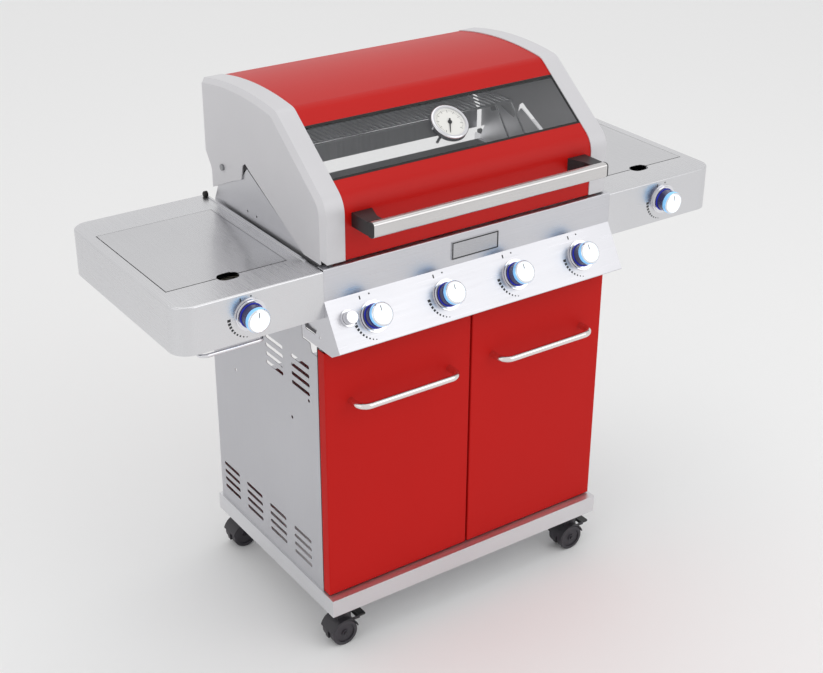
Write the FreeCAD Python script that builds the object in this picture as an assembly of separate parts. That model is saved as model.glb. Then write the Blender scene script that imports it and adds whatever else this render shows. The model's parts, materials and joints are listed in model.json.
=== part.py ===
import FreeCAD, Part
import math
import os

from FreeCAD import Vector

# Four-burner gas barbecue grill on a two-door cart.  Millimetres, +Z up, front towards -Y.
# Y is measured from the middle of the base while modelling; save() moves every piece so that
# the origin is the bottom centre of the whole grill.

# ---------------------------------------------------------------- driving dimensions
BODY_W = 735.0            # control panel and cooking box, outside
BODY_D = 494.0            # panel front plane to shelf back edge
DECK_Z = 918.0            # worktop height of the side shelves
SHELF_W = 317.5           # one side shelf, from the body outwards
SHELF_H = 100.0           # shelf apron
SHELF_CORNER_R = 40.0
CASTOR_H = 95.0           # floor to underside of the base
BASE_MARGIN_X = 5.0       # base past the body, each side
BASE_MARGIN_Y = 15.0      # base past the body, front and back
BASE_H = 43.0
SHEET = 1.2               # stainless and painted sheet
PLATE = 2.8               # hinge and gusset plates
FIT = 0.3                 # gap between sheets of neighbouring pieces
RUN = 0.05                # radial clearance of pins and shafts

# cabinet
CABINET_DROP = 106.0      # cabinet side top below the deck
CABINET_BACK_PAST = 3.0   # cabinet back past the shelf back
BACK_PANEL_TOP_Z = 447.0
VENT_ROWS = 4
VENT_PITCH_Z = 21.0
VENT_PITCH_Y = 108.7
VENT_LENGTH = 73.0
VENT_HEIGHT = 9.0
VENT_LOW_Z = 176.0
VENT_HIGH_DROP = 304.0    # upper vents below the deck

# doors
DOOR_T = 24.5
DOOR_GAP = 5.0
DOOR_FOOT_GAP = 3.0
DOOR_TOP_DROP = 182.0     # door top below the deck
DOOR_SET_BACK = 3.7       # door face behind the panel front
DOOR_LIP = 18.0
DOOR_PIN_R = 3.0
DOOR_PIN_INSET = 6.0
DOOR_HANDLE_R = 7.5
DOOR_HANDLE_SPAN = 250.0
DOOR_HANDLE_FIRST_X = 58.0
DOOR_HANDLE_DROP = 124.0  # below the door top
DOOR_HANDLE_REACH = 42.0
DOOR_HANDLE_BEND = 24.0

# control panel
PANEL_FOLD_DROP = 65.2    # panel fold below the deck
PANEL_TOP_GAP = 3.0       # panel top edge above the deck
PANEL_DROP = 93.8         # fold to lower edge, vertically
PANEL_LEAN = 56.0         # fold to lower edge, forwards
PANEL_RETURN_Y = 31.0
PANEL_RETURN_Z = 18.0
CHEEK_DEPTH = 87.0
KNOB_EDGE = 99.0          # outer knob axes from the panel ends
BURNERS = 4
KNOB_SLOPE = 54.7         # fold to knob centre along the slope
KNOB_R = 25.0
KNOB_REACH = 37.0         # panel face to knob face
KNOB_BACK = 7.5           # panel face to knob skirt
KNOB_CHAMFER = 1.8
STEM_R = 4.0
BEZEL_MARGIN = 8.0        # bezel past the knob
BEZEL_H = 6.0
RING_MARGIN = 0.8         # lit ring past the knob
RING_H = 6.8
BUTTON_INSET = 40.5       # button axis from the panel end
BUTTON_SLOPE = 43.5
BUTTON_R = 13.5
BUTTON_REACH = 21.0
SIDE_KNOB_DROP = 47.0     # below the deck

# cooking box
BOX_INSET = 7.5           # box wall inside the gusset plates
BOX_SET_BACK = 21.0       # box front behind the panel front
BOX_BACK_INSET = 35.0     # box back ahead of the shelf back
BOX_DEPTH = 148.0         # box floor below the deck
BOX_TOP_GAP = 3.0
GUSSET_INSET = 10.0       # plate inner face inside the body width
BURNER_RISE = 30.0        # burner axis above the box floor
BURNER_R = 13.0
BURNER_BACK_GAP = 27.0    # burner end ahead of the box back
TAMER_RISE = 38.0         # flame tamer feet above the burner axis
TAMER_W = 120.0
TAMER_H = 26.0
GRATE_DROP = 33.0         # underside of the grates below the deck
GRATE_BAR = 7.0
GRATE_BARS = 15
RACK_RISE = 144.0         # warming rack above the deck
RACK_DEPTH = 140.0
RACK_BACK_GAP = 32.0      # rack ahead of the box back
RACK_INSET = 35.0         # rack end inside the box wall
RACK_WIRES = 44
TRAY_DROP = 34.0          # tray bottom below the box floor
TRAY_H = 24.0
TRAY_INSET = 20.0         # tray side inside the box wall
TRAY_FRONT_GAP = 21.0     # tray behind the box front
TRAY_BACK_PAST = 13.0     # tray past the box back

# gas line
MANIFOLD_SET_BACK = 11.0  # pipe axis behind the panel front
MANIFOLD_DROP = 142.0     # pipe axis below the deck
MANIFOLD_R = 9.0
FEED_R = 6.0
VALVE_SIDE = 26.0
JET_R = 4.5

# lid, heights above the deck
LID_SET_BACK = 7.0        # lid front behind the panel front
LID_BACK_INSET = 1.0      # lid back ahead of the shelf back
LID_FOOT = 7.0
LID_KNEE = 129.5
LID_KNEE_R = 55.0
LID_BROW_BEHIND = 181.5   # brow corner behind the lid front
LID_BROW = 269.3
LID_BROW_R = 35.0
LID_CROWN_AHEAD = 156.4   # crown corner ahead of the lid back
LID_CROWN = 290.1
LID_CROWN_R = 850.0
LID_BACK_TOP = 260.6
LID_KINK = 101.0
LID_TAIL_INSET = 24.0     # tail ahead of the lid back
LID_TAIL = 67.0
LID_TAIL_FOOT = 18.0
HOOD_FOOT = 24.0          # lower edge of the hood's back sheet, which swings over the box wall
CAP_INSET = 3.5           # end cap outer face inside the body width
CAP_W = 52.0              # visible width of a lid end cap
CAP_WALL = 2.5
RIM_WALL = 2.0
CAP_BEVEL = 10.0
HOOD_TUCK = 27.0          # hood sheet running on under the end cap
HINGE_INSET = 87.0        # hinge axis ahead of the shelf back
HINGE_RISE = 88.0
HINGE_BOLT_R = 4.0
RIM_STOP = 94.0           # end cap rim ends this far above the hinge at the back
NOTCH_FOOT_BEHIND = 75.0  # behind the panel front
NOTCH_PEAK_AHEAD = 100.0  # ahead of the hinge
NOTCH_PEAK = 122.0
WINDOW_START = 45.6       # along the slope from the brow corner
WINDOW_LENGTH = 132.0
GLASS_T = 5.0
SEAL_W = 5.0
GAUGE_R = 42.0
GAUGE_H = 13.0
GAUGE_DIAL_DEPTH = 4.0

# lid handle
HANDLE_INSET = 71.5       # bar end inside the end cap's outer face
HANDLE_LOW = 74.0         # above the deck
HANDLE_TALL = 31.7
HANDLE_DEEP = 20.0
HANDLE_CORNER_R = 7.0
HANDLE_REACH = 74.3       # bar front ahead of the lid front
BRACKET_INSET = 30.5      # bracket inner face inside the bar end
END_PLATE = 3.0

# side burners
WELL_INSET = 32.5         # well from the body side
WELL_MARGIN = 25.0        # well from the shelf end
WELL_FRONT_MARGIN = 87.0
WELL_BACK_MARGIN = 89.0
WELL_DEPTH = 56.0
COVER_GAP = 1.6
COVER_LIP = 9.0
COVER_PIN_R = 2.5
COVER_PROUD = 0.4
COVER_AXIS_DROP = 5.1
COVER_AXIS_INSET = 12.0
SIDE_BURNER_R = 62.0
SEAR_W = 170.0
SEAR_D = 210.0
TRIVET_ROD_R = 3.0
TRIVET_INSET = 9.0        # end bars and legs inside the long bars' ends

# castors
CASTOR_INSET_X = 46.5     # swivel axis from the base side
CASTOR_INSET_Y = 34.0     # swivel axis from the base front and back
WHEEL_R = 31.0
WHEEL_W = 18.0
WHEEL_SPACE = 12.0
CASTOR_TRAIL = 10.0
AXLE_R = 4.0
HOOD_GAP = 1.5
HOOD_WALL = 2.5
KINGPIN_R = 5.0
PEDAL_HALF = 13.0
PEDAL_PIN_R = 2.0

# ---------------------------------------------------------------- derived places
FRONT_Y = -BODY_D / 2
SHELF_BACK_Y = BODY_D / 2
BODY_X = BODY_W / 2
SHELF_X = BODY_X + SHELF_W
BASE_W = BODY_W + 2 * BASE_MARGIN_X
BASE_D = BODY_D + 2 * BASE_MARGIN_Y
CABINET_TOP_Z = DECK_Z - CABINET_DROP
CABINET_BACK_Y = SHELF_BACK_Y + CABINET_BACK_PAST
VENT_HIGH_Z = DECK_Z - VENT_HIGH_DROP
DOOR_TOP_Z = DECK_Z - DOOR_TOP_DROP
DOOR_HANDLE_Z = DOOR_TOP_Z - DOOR_HANDLE_DROP
DOOR_FACE_Y = FRONT_Y + DOOR_SET_BACK
PANEL_FOLD_Z = DECK_Z - PANEL_FOLD_DROP
BURNER_PITCH = 2 * (BODY_X - KNOB_EDGE) / (BURNERS - 1)
RING_R = KNOB_R + RING_MARGIN
BEZEL_R = KNOB_R + BEZEL_MARGIN
BUTTON_X = BUTTON_INSET - BODY_X
GUSSET_X = BODY_X - GUSSET_INSET
BOX_WALL_X = GUSSET_X - BOX_INSET
BOX_FRONT_Y = FRONT_Y + BOX_SET_BACK
BOX_BACK_Y = SHELF_BACK_Y - BOX_BACK_INSET
BOX_FLOOR_Z = DECK_Z - BOX_DEPTH
BURNER_Z = BOX_FLOOR_Z + BURNER_RISE
BURNER_BACK_Y = BOX_BACK_Y - BURNER_BACK_GAP
TAMER_Z = BURNER_Z + TAMER_RISE
GRATE_Z = DECK_Z - GRATE_DROP
RACK_Z = DECK_Z + RACK_RISE
RACK_BACK_Y = BOX_BACK_Y - RACK_BACK_GAP
RACK_FRONT_Y = RACK_BACK_Y - RACK_DEPTH
RACK_HALF_X = BOX_WALL_X - RACK_INSET
TRAY_Z = BOX_FLOOR_Z - TRAY_DROP
TRAY_HALF_X = BOX_WALL_X - TRAY_INSET
TRAY_FRONT_Y = BOX_FRONT_Y + TRAY_FRONT_GAP
TRAY_BACK_Y = BOX_BACK_Y + TRAY_BACK_PAST
MANIFOLD_Y = FRONT_Y + MANIFOLD_SET_BACK
MANIFOLD_Z = DECK_Z - MANIFOLD_DROP
LID_FRONT_Y = FRONT_Y + LID_SET_BACK
LID_BACK_Y = SHELF_BACK_Y - LID_BACK_INSET
LID_TAIL_Y = LID_BACK_Y - LID_TAIL_INSET
LID_BROW_Y = LID_FRONT_Y + LID_BROW_BEHIND
LID_CROWN_Y = LID_BACK_Y - LID_CROWN_AHEAD
CAP_X = BODY_X - CAP_INSET
HINGE_Y = SHELF_BACK_Y - HINGE_INSET
NOTCH_FOOT_Y = FRONT_Y + NOTCH_FOOT_BEHIND
NOTCH_PEAK_Y = HINGE_Y - NOTCH_PEAK_AHEAD
HANDLE_HALF = CAP_X - HANDLE_INSET
HANDLE_FRONT_Y = LID_FRONT_Y - HANDLE_REACH
BRACKET_X = HANDLE_HALF - BRACKET_INSET
WELL_IN_X = BODY_X + WELL_INSET
WELL_OUT_X = SHELF_X - WELL_MARGIN
WELL_FRONT_Y = FRONT_Y + WELL_FRONT_MARGIN
WELL_BACK_Y = SHELF_BACK_Y - WELL_BACK_MARGIN
CASTOR_X = BASE_W / 2 - CASTOR_INSET_X
CASTOR_Y = BASE_D / 2 - CASTOR_INSET_Y
BASE_TOP_Z = CASTOR_H + BASE_H
SIDE_X = BODY_X + 0.5     # cabinet side panels, outside face
SLOPE_LEN = math.hypot(PANEL_LEAN, PANEL_DROP)
SLOPE_DIR = Vector(0, -PANEL_LEAN / SLOPE_LEN, -PANEL_DROP / SLOPE_LEN)
SLOPE_OUT = Vector(0, SLOPE_DIR.z, -SLOPE_DIR.y)
FOLD = Vector(0, FRONT_Y, PANEL_FOLD_Z)
LOW_EDGE = FOLD + SLOPE_DIR * SLOPE_LEN
RETURN_EDGE = LOW_EDGE + Vector(0, PANEL_RETURN_Y, -PANEL_RETURN_Z)
BOX_TOP_Z = DECK_Z - BOX_TOP_GAP
HINGE_Z = DECK_Z + HINGE_RISE
KNOB_FRONT = FOLD + SLOPE_DIR * (KNOB_SLOPE + KNOB_R - KNOB_CHAMFER) + SLOPE_OUT * KNOB_REACH
KNOB_RIM_Y = KNOB_FRONT.y
SIDE_KNOB_X = (WELL_IN_X + WELL_OUT_X) / 2
SIDE_FEED_Z = DECK_Z - SIDE_KNOB_DROP
DEPTH_SHIFT = -(min(KNOB_RIM_Y, HANDLE_FRONT_Y) + BASE_D / 2) / 2
BURNER_XS = [(i - (BURNERS - 1) / 2) * BURNER_PITCH for i in range(BURNERS)]


# ---------------------------------------------------------------- shape helpers
def box(x, y, z):
    """Box from three (low, high) ranges."""
    return Part.makeBox(x[1] - x[0], y[1] - y[0], z[1] - z[0], Vector(x[0], y[0], z[0]))


def mirrored(side, low, high):
    """X range on the left (side -1) or right (side 1) half for distances low..high from the middle."""
    return (low, high) if side > 0 else (-high, -low)


def rod(start, end, radius):
    """Round bar between two points."""
    return Part.makeCylinder(radius, (end - start).Length, start, end - start)


def ring(base, axis, outer, inner, height):
    """Tube of the given height standing on base."""
    tube = Part.makeCylinder(outer, height, base, axis)
    return tube.cut(Part.makeCylinder(inner, height, base, axis))


def rounded_wire(corners, radii):
    """Closed wire through the corners, each rounded by its own radius, 0 keeping it sharp."""
    stops = []
    for i, (corner, radius) in enumerate(zip(corners, radii)):
        if radius == 0:
            stops.append((corner, corner, None))
            continue
        back = (corners[i - 1] - corner).normalize()
        ahead = (corners[(i + 1) % len(corners)] - corner).normalize()
        half = back.getAngle(ahead) / 2
        reach = radius / math.tan(half)
        middle = corner + (back + ahead).normalize() * (radius / math.sin(half) - radius)
        stops.append((corner + back * reach, corner + ahead * reach, middle))
    edges = []
    for i, (start, end, middle) in enumerate(stops):
        if middle is not None:
            edges.append(Part.Arc(start, middle, end).toShape())
        following = stops[(i + 1) % len(stops)][0]
        if (following - end).Length > 1e-6:
            edges.append(Part.LineSegment(end, following).toShape())
    return Part.Wire(edges)


def prism_yz(points, x, radii=None):
    """Solid with a (y, z) outline between two X planes."""
    corners = [Vector(x[0], y, z) for y, z in points]
    wire = rounded_wire(corners, radii or [0] * len(corners))
    return Part.Face(wire).extrude(Vector(x[1] - x[0], 0, 0))


def prism_xy(points, z, radii=None):
    """Solid with an (x, y) outline between two heights."""
    corners = [Vector(x, y, z[0]) for x, y in points]
    wire = rounded_wire(corners, radii or [0] * len(corners))
    return Part.Face(wire).extrude(Vector(0, 0, z[1] - z[0]))


def plate_at(origin, along, out, length, width_x, depth):
    """Plate lying on a slope: length along the slope, width in X, depth against the outward normal."""
    corners = [origin + Vector(width_x[0], 0, 0), origin + Vector(width_x[1], 0, 0)]
    corners += [corners[1] + along * length, corners[0] + along * length]
    return Part.Face(Part.makePolygon(corners + corners[:1])).extrude(out * -depth)


def joined(shapes):
    """One solid from touching or crossing shapes."""
    return shapes[0].multiFuse(shapes[1:]).removeSplitter()


def bent_rod(points, bend, radius):
    """Round bar through the points with an arc of radius bend at each inner point."""
    edges = []
    start = points[0]
    for before, corner, after in zip(points, points[1:], points[2:]):
        back = (before - corner).normalize()
        ahead = (after - corner).normalize()
        half = back.getAngle(ahead) / 2
        reach = bend / math.tan(half)
        middle = corner + (back + ahead).normalize() * (bend / math.sin(half) - bend)
        edges.append(Part.LineSegment(start, corner + back * reach).toShape())
        edges.append(Part.Arc(corner + back * reach, middle, corner + ahead * reach).toShape())
        start = corner + ahead * reach
    edges.append(Part.LineSegment(start, points[-1]).toShape())
    path = Part.Wire(edges)
    section = Part.Wire(Part.makeCircle(radius, points[0], points[1] - points[0]))
    return path.makePipeShell([section], True, False)


def save(node, shape):
    """Write one node, moved to the grill's own origin."""
    moved = shape.copy()
    moved.translate(Vector(0, DEPTH_SHIFT, 0))
    moved.exportStep(f"parts/{node}.step")
    print(f"{node}: valid {moved.isValid()}, solids {len(moved.Solids)}, {moved.Volume / 1000:.1f} cm3")


def slope_point(x, down, out):
    """Point on the sloped panel: down from the fold, out from its face."""
    return FOLD + Vector(x, 0, 0) + SLOPE_DIR * down + SLOPE_OUT * out


# ---------------------------------------------------------------- cart
def base_frame():
    """Bottom shelf: a pressed pan turned upside down, with a corner plate over each castor."""
    x, y = (-BASE_W / 2, BASE_W / 2), (-BASE_D / 2, BASE_D / 2)
    shell = box(x, y, (CASTOR_H, BASE_TOP_Z))
    inside = box((x[0] + SHEET, x[1] - SHEET), (y[0] + SHEET, y[1] - SHEET), (CASTOR_H, BASE_TOP_Z - SHEET))
    shell = shell.cut(inside)
    corner = 92.0
    pads = []
    for sx in (-1, 1):
        for sy in (-1, 1):
            px = mirrored(sx, x[1] - corner, x[1] - SHEET)
            py = mirrored(sy, y[1] - corner, y[1] - SHEET)
            pads.append(box(px, py, (CASTOR_H, CASTOR_H + PLATE)))
    frame = joined([shell] + pads)
    for sx in (-1, 1):
        for sy in (-1, 1):
            foot = Vector(sx * CASTOR_X, sy * CASTOR_Y, CASTOR_H)
            frame = frame.cut(rod(foot, foot + Vector(0, 0, PLATE), KINGPIN_R + RUN))
    return frame


def vent_slots(side, centres, low_z):
    """Cutters for columns of louvre slots in a side panel."""
    slots = []
    half = (VENT_LENGTH - VENT_HEIGHT) / 2
    x = mirrored(side, SIDE_X - 2 * SHEET, SIDE_X + SHEET)
    for centre in centres:
        for row in range(VENT_ROWS):
            z = low_z + row * VENT_PITCH_Z
            slots.append(box(x, (centre - half, centre + half), (z - VENT_HEIGHT / 2, z + VENT_HEIGHT / 2)))
            for end in (-half, half):
                start = Vector(x[0], centre + end, z)
                slots.append(rod(start, start + Vector(x[1] - x[0], 0, 0), VENT_HEIGHT / 2))
    return slots


def cabinet_side(side):
    """Vented side panel with a folded edge behind the door and a folded edge at the back."""
    outer, inner = SIDE_X, SIDE_X - SHEET
    front = DOOR_FACE_Y + DOOR_T + 3.3
    cheek_back = FRONT_Y + CHEEK_DEPTH + 2.0
    cheek_low = RETURN_EDGE.z - 3.0
    step_low = cheek_low - 20.0
    outline = [(front, BASE_TOP_Z), (CABINET_BACK_Y, BASE_TOP_Z), (CABINET_BACK_Y, CABINET_TOP_Z),
               (cheek_back, CABINET_TOP_Z), (cheek_back, cheek_low), (cheek_back - 30.0, cheek_low),
               (cheek_back - 36.0, step_low), (front, step_low)]
    panel = prism_yz(outline, mirrored(side, inner, outer), [0, 0, 0, 0, 0, 5.0, 8.0, 0])
    middle = (front + CABINET_BACK_Y) / 2
    low = [middle + (i - 1.5) * VENT_PITCH_Y + 13.0 for i in range(4)]
    high = [front + 70.0, front + 70.0 + VENT_PITCH_Y]
    panel = panel.cut(Part.makeCompound(vent_slots(side, low, VENT_LOW_Z) + vent_slots(side, high, VENT_HIGH_Z)))
    flange = 22.0
    front_fold = box(mirrored(side, outer - flange, outer), (front, front + SHEET), (BASE_TOP_Z, step_low))
    back_fold = box(mirrored(side, outer - flange, outer), (CABINET_BACK_Y - SHEET, CABINET_BACK_Y),
                    (BASE_TOP_Z, CABINET_TOP_Z))
    body = joined([panel, front_fold, back_fold])
    for y, z in ((-105.0, 525.0), (-177.0, 598.0), (-68.0, 632.0), (145.0, 528.0)):
        start = Vector(side * (inner - SHEET), y, z)
        body = body.cut(rod(start, start + Vector(side * 3 * SHEET, 0, 0), 4.0))
    return body


def cabinet_back():
    """Low rear panel; the upper back stays open for the gas bottle."""
    half = SIDE_X - 2 * SHEET
    y = (CABINET_BACK_Y - 2 * SHEET, CABINET_BACK_Y - SHEET)
    panel = box((-half, half), y, (BASE_TOP_Z, BACK_PANEL_TOP_Z))
    fold = box((-half, half), (y[0] - 18.0, y[1]), (BACK_PANEL_TOP_Z - SHEET, BACK_PANEL_TOP_Z))
    return joined([panel, fold])


def door_crossbar():
    """Rail over the doors; its front flange carries the upper hinge pins."""
    front = DOOR_FACE_Y + DOOR_T + 3.3 + SHEET
    half = SIDE_X - SHEET
    flange_z = DOOR_TOP_Z + 1.0
    web = box((-half, half), (front, front + SHEET), (DOOR_TOP_Z - 45.0, flange_z + SHEET))
    flange = box((-half + FIT, half - FIT), (DOOR_FACE_Y + 8.0, front + SHEET), (flange_z, flange_z + SHEET))
    bar = joined([web, flange])
    for side in (-1, 1):
        start = Vector(side * door_pin_x(), door_pin_y(), flange_z)
        bar = bar.cut(rod(start, start + Vector(0, 0, SHEET), DOOR_PIN_R))
    return bar


def door_pin_x():
    return SIDE_X - DOOR_PIN_INSET


def door_pin_y():
    return DOOR_FACE_Y + DOOR_T - DOOR_PIN_INSET


def hinge_hardware():
    """Fixed pins: two per door, and the bolt, bush and nut of each lid hinge."""
    pieces = []
    flange_z = DOOR_TOP_Z + 1.0
    for side in (-1, 1):
        x, y = side * door_pin_x(), door_pin_y()
        pieces.append(rod(Vector(x, y, BASE_TOP_Z), Vector(x, y, BASE_TOP_Z + 12.0), DOOR_PIN_R))
        top = rod(Vector(x, y, DOOR_TOP_Z - 10.0), Vector(x, y, flange_z + SHEET), DOOR_PIN_R)
        head = rod(Vector(x, y, flange_z + SHEET), Vector(x, y, flange_z + SHEET + 2.0), DOOR_PIN_R + 2.0)
        pieces.append(joined([top, head]))
        out = Vector(side, 0, 0)
        centre = Vector(0, HINGE_Y, HINGE_Z)
        shank = rod(centre + out * (GUSSET_X - 8.0), centre + out * (CAP_X + FIT), HINGE_BOLT_R)
        cap = rod(centre + out * (CAP_X + FIT), centre + out * (CAP_X + FIT + 4.0), HINGE_BOLT_R + 3.0)
        nut = rod(centre + out * (GUSSET_X - 6.0), centre + out * GUSSET_X, HINGE_BOLT_R + 3.5)
        pieces.append(joined([shank, cap, nut]))
    return Part.makeCompound(pieces)


# ---------------------------------------------------------------- doors
def door(side):
    """Folded door pan, open at the back inside its lips, with hinge holes top and bottom."""
    x = mirrored(side, DOOR_GAP / 2, SIDE_X)
    y = (DOOR_FACE_Y, DOOR_FACE_Y + DOOR_T)
    z = (BASE_TOP_Z + DOOR_FOOT_GAP, DOOR_TOP_Z)
    pan = box(x, y, z)
    pan = pan.makeFillet(2.5, [e for e in pan.Edges if abs(e.CenterOfMass.y - y[0]) < 0.01])
    pan = pan.cut(box((x[0] + SHEET, x[1] - SHEET), (y[0] + SHEET, y[1] - SHEET), (z[0] + SHEET, z[1] - SHEET)))
    window = box((x[0] + DOOR_LIP, x[1] - DOOR_LIP), (y[1] - SHEET, y[1]), (z[0] + DOOR_LIP, z[1] - DOOR_LIP))
    pan = pan.cut(window)
    hole = rod(Vector(side * door_pin_x(), door_pin_y(), z[0]), Vector(side * door_pin_x(), door_pin_y(), z[1]),
               DOOR_PIN_R + RUN)
    return pan.cut(hole)


def door_handle(side):
    """Bent round bar with its ends on the door skin."""
    near, far = DOOR_HANDLE_FIRST_X, DOOR_HANDLE_FIRST_X + DOOR_HANDLE_SPAN
    out_y = DOOR_FACE_Y - DOOR_HANDLE_REACH
    corners = [(near, DOOR_FACE_Y), (near, out_y), (far, out_y), (far, DOOR_FACE_Y)]
    points = [Vector(side * x, y, DOOR_HANDLE_Z) for x, y in corners]
    return bent_rod(points, DOOR_HANDLE_BEND, DOOR_HANDLE_R)


# ---------------------------------------------------------------- castors
def castor_mounts():
    """Top plate and kingpin of each castor, fixed to the base."""
    pieces = []
    for sx in (-1, 1):
        for sy in (-1, 1):
            x, y = sx * CASTOR_X, sy * CASTOR_Y
            plate = box((x - 29.0, x + 29.0), (y - 29.0, y + 29.0), (CASTOR_H - 3.0, CASTOR_H))
            pin = rod(Vector(x, y, CASTOR_H - 26.0), Vector(x, y, CASTOR_H + PLATE), KINGPIN_R)
            pieces.append(joined([plate, pin]))
    return Part.makeCompound(pieces)


def pedal_pivot(x, y):
    """Brake lever pivot beside the hood of the castor standing at (x, y)."""
    return Vector(x - CASTOR_TRAIL + WHEEL_R + HOOD_GAP + HOOD_WALL + 5.0, y, WHEEL_R + 22.0)


def castor_fork(x, y, braked):
    """Swivel housing: neck on the kingpin, curved hood over both wheels, web and axle between them."""
    ax = x - CASTOR_TRAIL
    axle = Vector(ax, y, WHEEL_R)
    half = WHEEL_SPACE / 2 + WHEEL_W + 1.0
    inner = WHEEL_R + HOOD_GAP
    outer = inner + HOOD_WALL
    along = Vector(0, 1, 0)
    hood = Part.makeCylinder(outer, 2 * half, axle - along * half, along)
    hood = hood.cut(Part.makeCylinder(inner, 2 * half, axle - along * half, along))
    below = box((ax - outer, ax + outer), (y - half, y + half), (WHEEL_R - outer, WHEEL_R + 8.0))
    hood = hood.cut(below)
    web_half = WHEEL_SPACE / 2 - 1.0
    web = Part.makeCylinder(outer, 2 * web_half, axle - along * web_half, along)
    web = web.cut(box((ax - outer, ax + outer), (y - half, y + half), (WHEEL_R - outer, WHEEL_R - 12.0)))
    neck_low = WHEEL_R + math.sqrt(inner ** 2 - CASTOR_TRAIL ** 2) - 2.0
    neck = Part.makeCylinder(15.0, CASTOR_H - 3.5 - neck_low, Vector(x, y, neck_low))
    bridge = box((ax - 12.0, x + 12.0), (y - 12.0, y + 12.0), (WHEEL_R + inner - 4.0, WHEEL_R + outer + 8.0))
    clear = Part.makeCylinder(inner, 2 * half, axle - along * half, along)
    top = joined([neck, bridge]).cut(clear)
    pin = Part.makeCylinder(AXLE_R, 2 * half + 4.0, axle - along * (half + 2.0), along)
    pieces = [hood, web, top, pin]
    if braked:
        pivot = pedal_pivot(x, y)
        for ear in (-1, 1):
            near, far = PEDAL_HALF + FIT, PEDAL_HALF + FIT + 2.0
            ear_y = (y + near, y + far) if ear > 0 else (y - far, y - near)
            plate = box((ax + 20.0, pivot.x + 3.5), ear_y, (pivot.z - 3.5, pivot.z + 3.5))
            pieces.append(plate.cut(clear))
        pieces.append(rod(pivot - along * (PEDAL_HALF + 2.0), pivot + along * (PEDAL_HALF + 2.0), PEDAL_PIN_R))
    body = joined(pieces)
    bore = rod(Vector(x, y, CASTOR_H - 30.0), Vector(x, y, CASTOR_H), KINGPIN_R + RUN)
    return body.cut(bore)


def castor_wheels(x, y):
    """Two discs that turn on one axle."""
    ax = x - CASTOR_TRAIL
    discs = []
    for side in (-1, 1):
        start = Vector(ax, y + side * WHEEL_SPACE / 2, WHEEL_R)
        out = Vector(0, side, 0)
        disc = Part.makeCylinder(WHEEL_R, WHEEL_W, start, out)
        rims = [e for e in disc.Edges if e.Curve.TypeId == "Part::GeomCircle"]
        disc = disc.makeFillet(2.0, rims)
        dish = Part.makeCylinder(WHEEL_R - 8.0, 3.0, start + out * (WHEEL_W - 3.0), out)
        boss = Part.makeCylinder(8.0, 3.0, start + out * (WHEEL_W - 3.0), out)
        disc = disc.cut(dish.cut(boss))
        discs.append(disc.cut(Part.makeCylinder(AXLE_R + RUN, WHEEL_W, start, out)))
    return Part.makeCompound(discs)


def brake_pedal(x, y):
    """Foot brake lever beside the hood, turning on a pin between two ears."""
    pivot = pedal_pivot(x, y)
    reach = 20.0
    pad = box((pivot.x, pivot.x + reach), (y - PEDAL_HALF, y + PEDAL_HALF), (pivot.z - 2.0, pivot.z + 3.0))
    pad = pad.makeFillet(1.5, [e for e in pad.Edges if abs(e.CenterOfMass.x - pivot.x - reach) < 0.1])
    along = Vector(0, PEDAL_HALF, 0)
    hub = rod(pivot - along, pivot + along, PEDAL_PIN_R + 2.0)
    return joined([hub, pad]).cut(rod(pivot - along, pivot + along, PEDAL_PIN_R + RUN))


# ---------------------------------------------------------------- cooking box
def gusset_outline():
    """Fixed side plate: along the box, up the sloping edge and round the hinge."""
    low = BOX_FLOOR_Z
    return [(BOX_FRONT_Y, low), (BOX_BACK_Y, low), (BOX_BACK_Y, DECK_Z), (HINGE_Y + 16.0, HINGE_Z - 14.0),
            (HINGE_Y + 14.0, HINGE_Z + 14.0), (HINGE_Y - 16.0, HINGE_Z + 14.0), (NOTCH_PEAK_Y + 26.0, HINGE_Z - 4.0),
            (NOTCH_PEAK_Y, DECK_Z + NOTCH_PEAK - 8.0), (NOTCH_FOOT_Y + 4.0, DECK_Z + 2.5), (BOX_FRONT_Y, DECK_Z + 2.5)]


def firebox():
    """Welded sheet box: four walls, turned-in floor flanges, outward top flanges and tray rails."""
    x, y, z = (-BOX_WALL_X, BOX_WALL_X), (BOX_FRONT_Y, BOX_BACK_Y), (BOX_FLOOR_Z, BOX_TOP_Z)
    walls = box(x, y, z).cut(box((x[0] + SHEET, x[1] - SHEET), (y[0] + SHEET, y[1] - SHEET), z))
    flange = 22.0
    floor = box(x, y, (z[0], z[0] + SHEET))
    floor = floor.cut(box((x[0] + flange, x[1] - flange), (y[0] + flange, y[1] - flange), z))
    parts = [walls, floor]
    ledge_z = GRATE_Z - SHEET
    for side in (-1, 1):
        parts.append(box(mirrored(side, BOX_WALL_X - SHEET, GUSSET_X), (y[0], y[1]), (z[1] - SHEET, z[1])))
        rail_x = TRAY_HALF_X + 1.0
        rail_y = (TRAY_FRONT_Y - 2.0, y[1])
        rail_z = TRAY_Z - 3.0
        parts.append(box(mirrored(side, rail_x, rail_x + SHEET), rail_y, (rail_z, z[0])))
        parts.append(box(mirrored(side, rail_x - 10.0, rail_x + SHEET), rail_y, (rail_z, rail_z + SHEET)))
    for front in (y[0] + SHEET, y[1] - SHEET - 14.0):
        parts.append(box((x[0] + SHEET, x[1] - SHEET), (front, front + 14.0), (ledge_z, ledge_z + SHEET)))
    shell = joined(parts)
    for burner_x in BURNER_XS:
        start = Vector(burner_x, y[0] - 1.0, BURNER_Z)
        shell = shell.cut(rod(start, start + Vector(0, SHEET + 2.0, 0), BURNER_R + FIT))
    return shell


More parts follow.
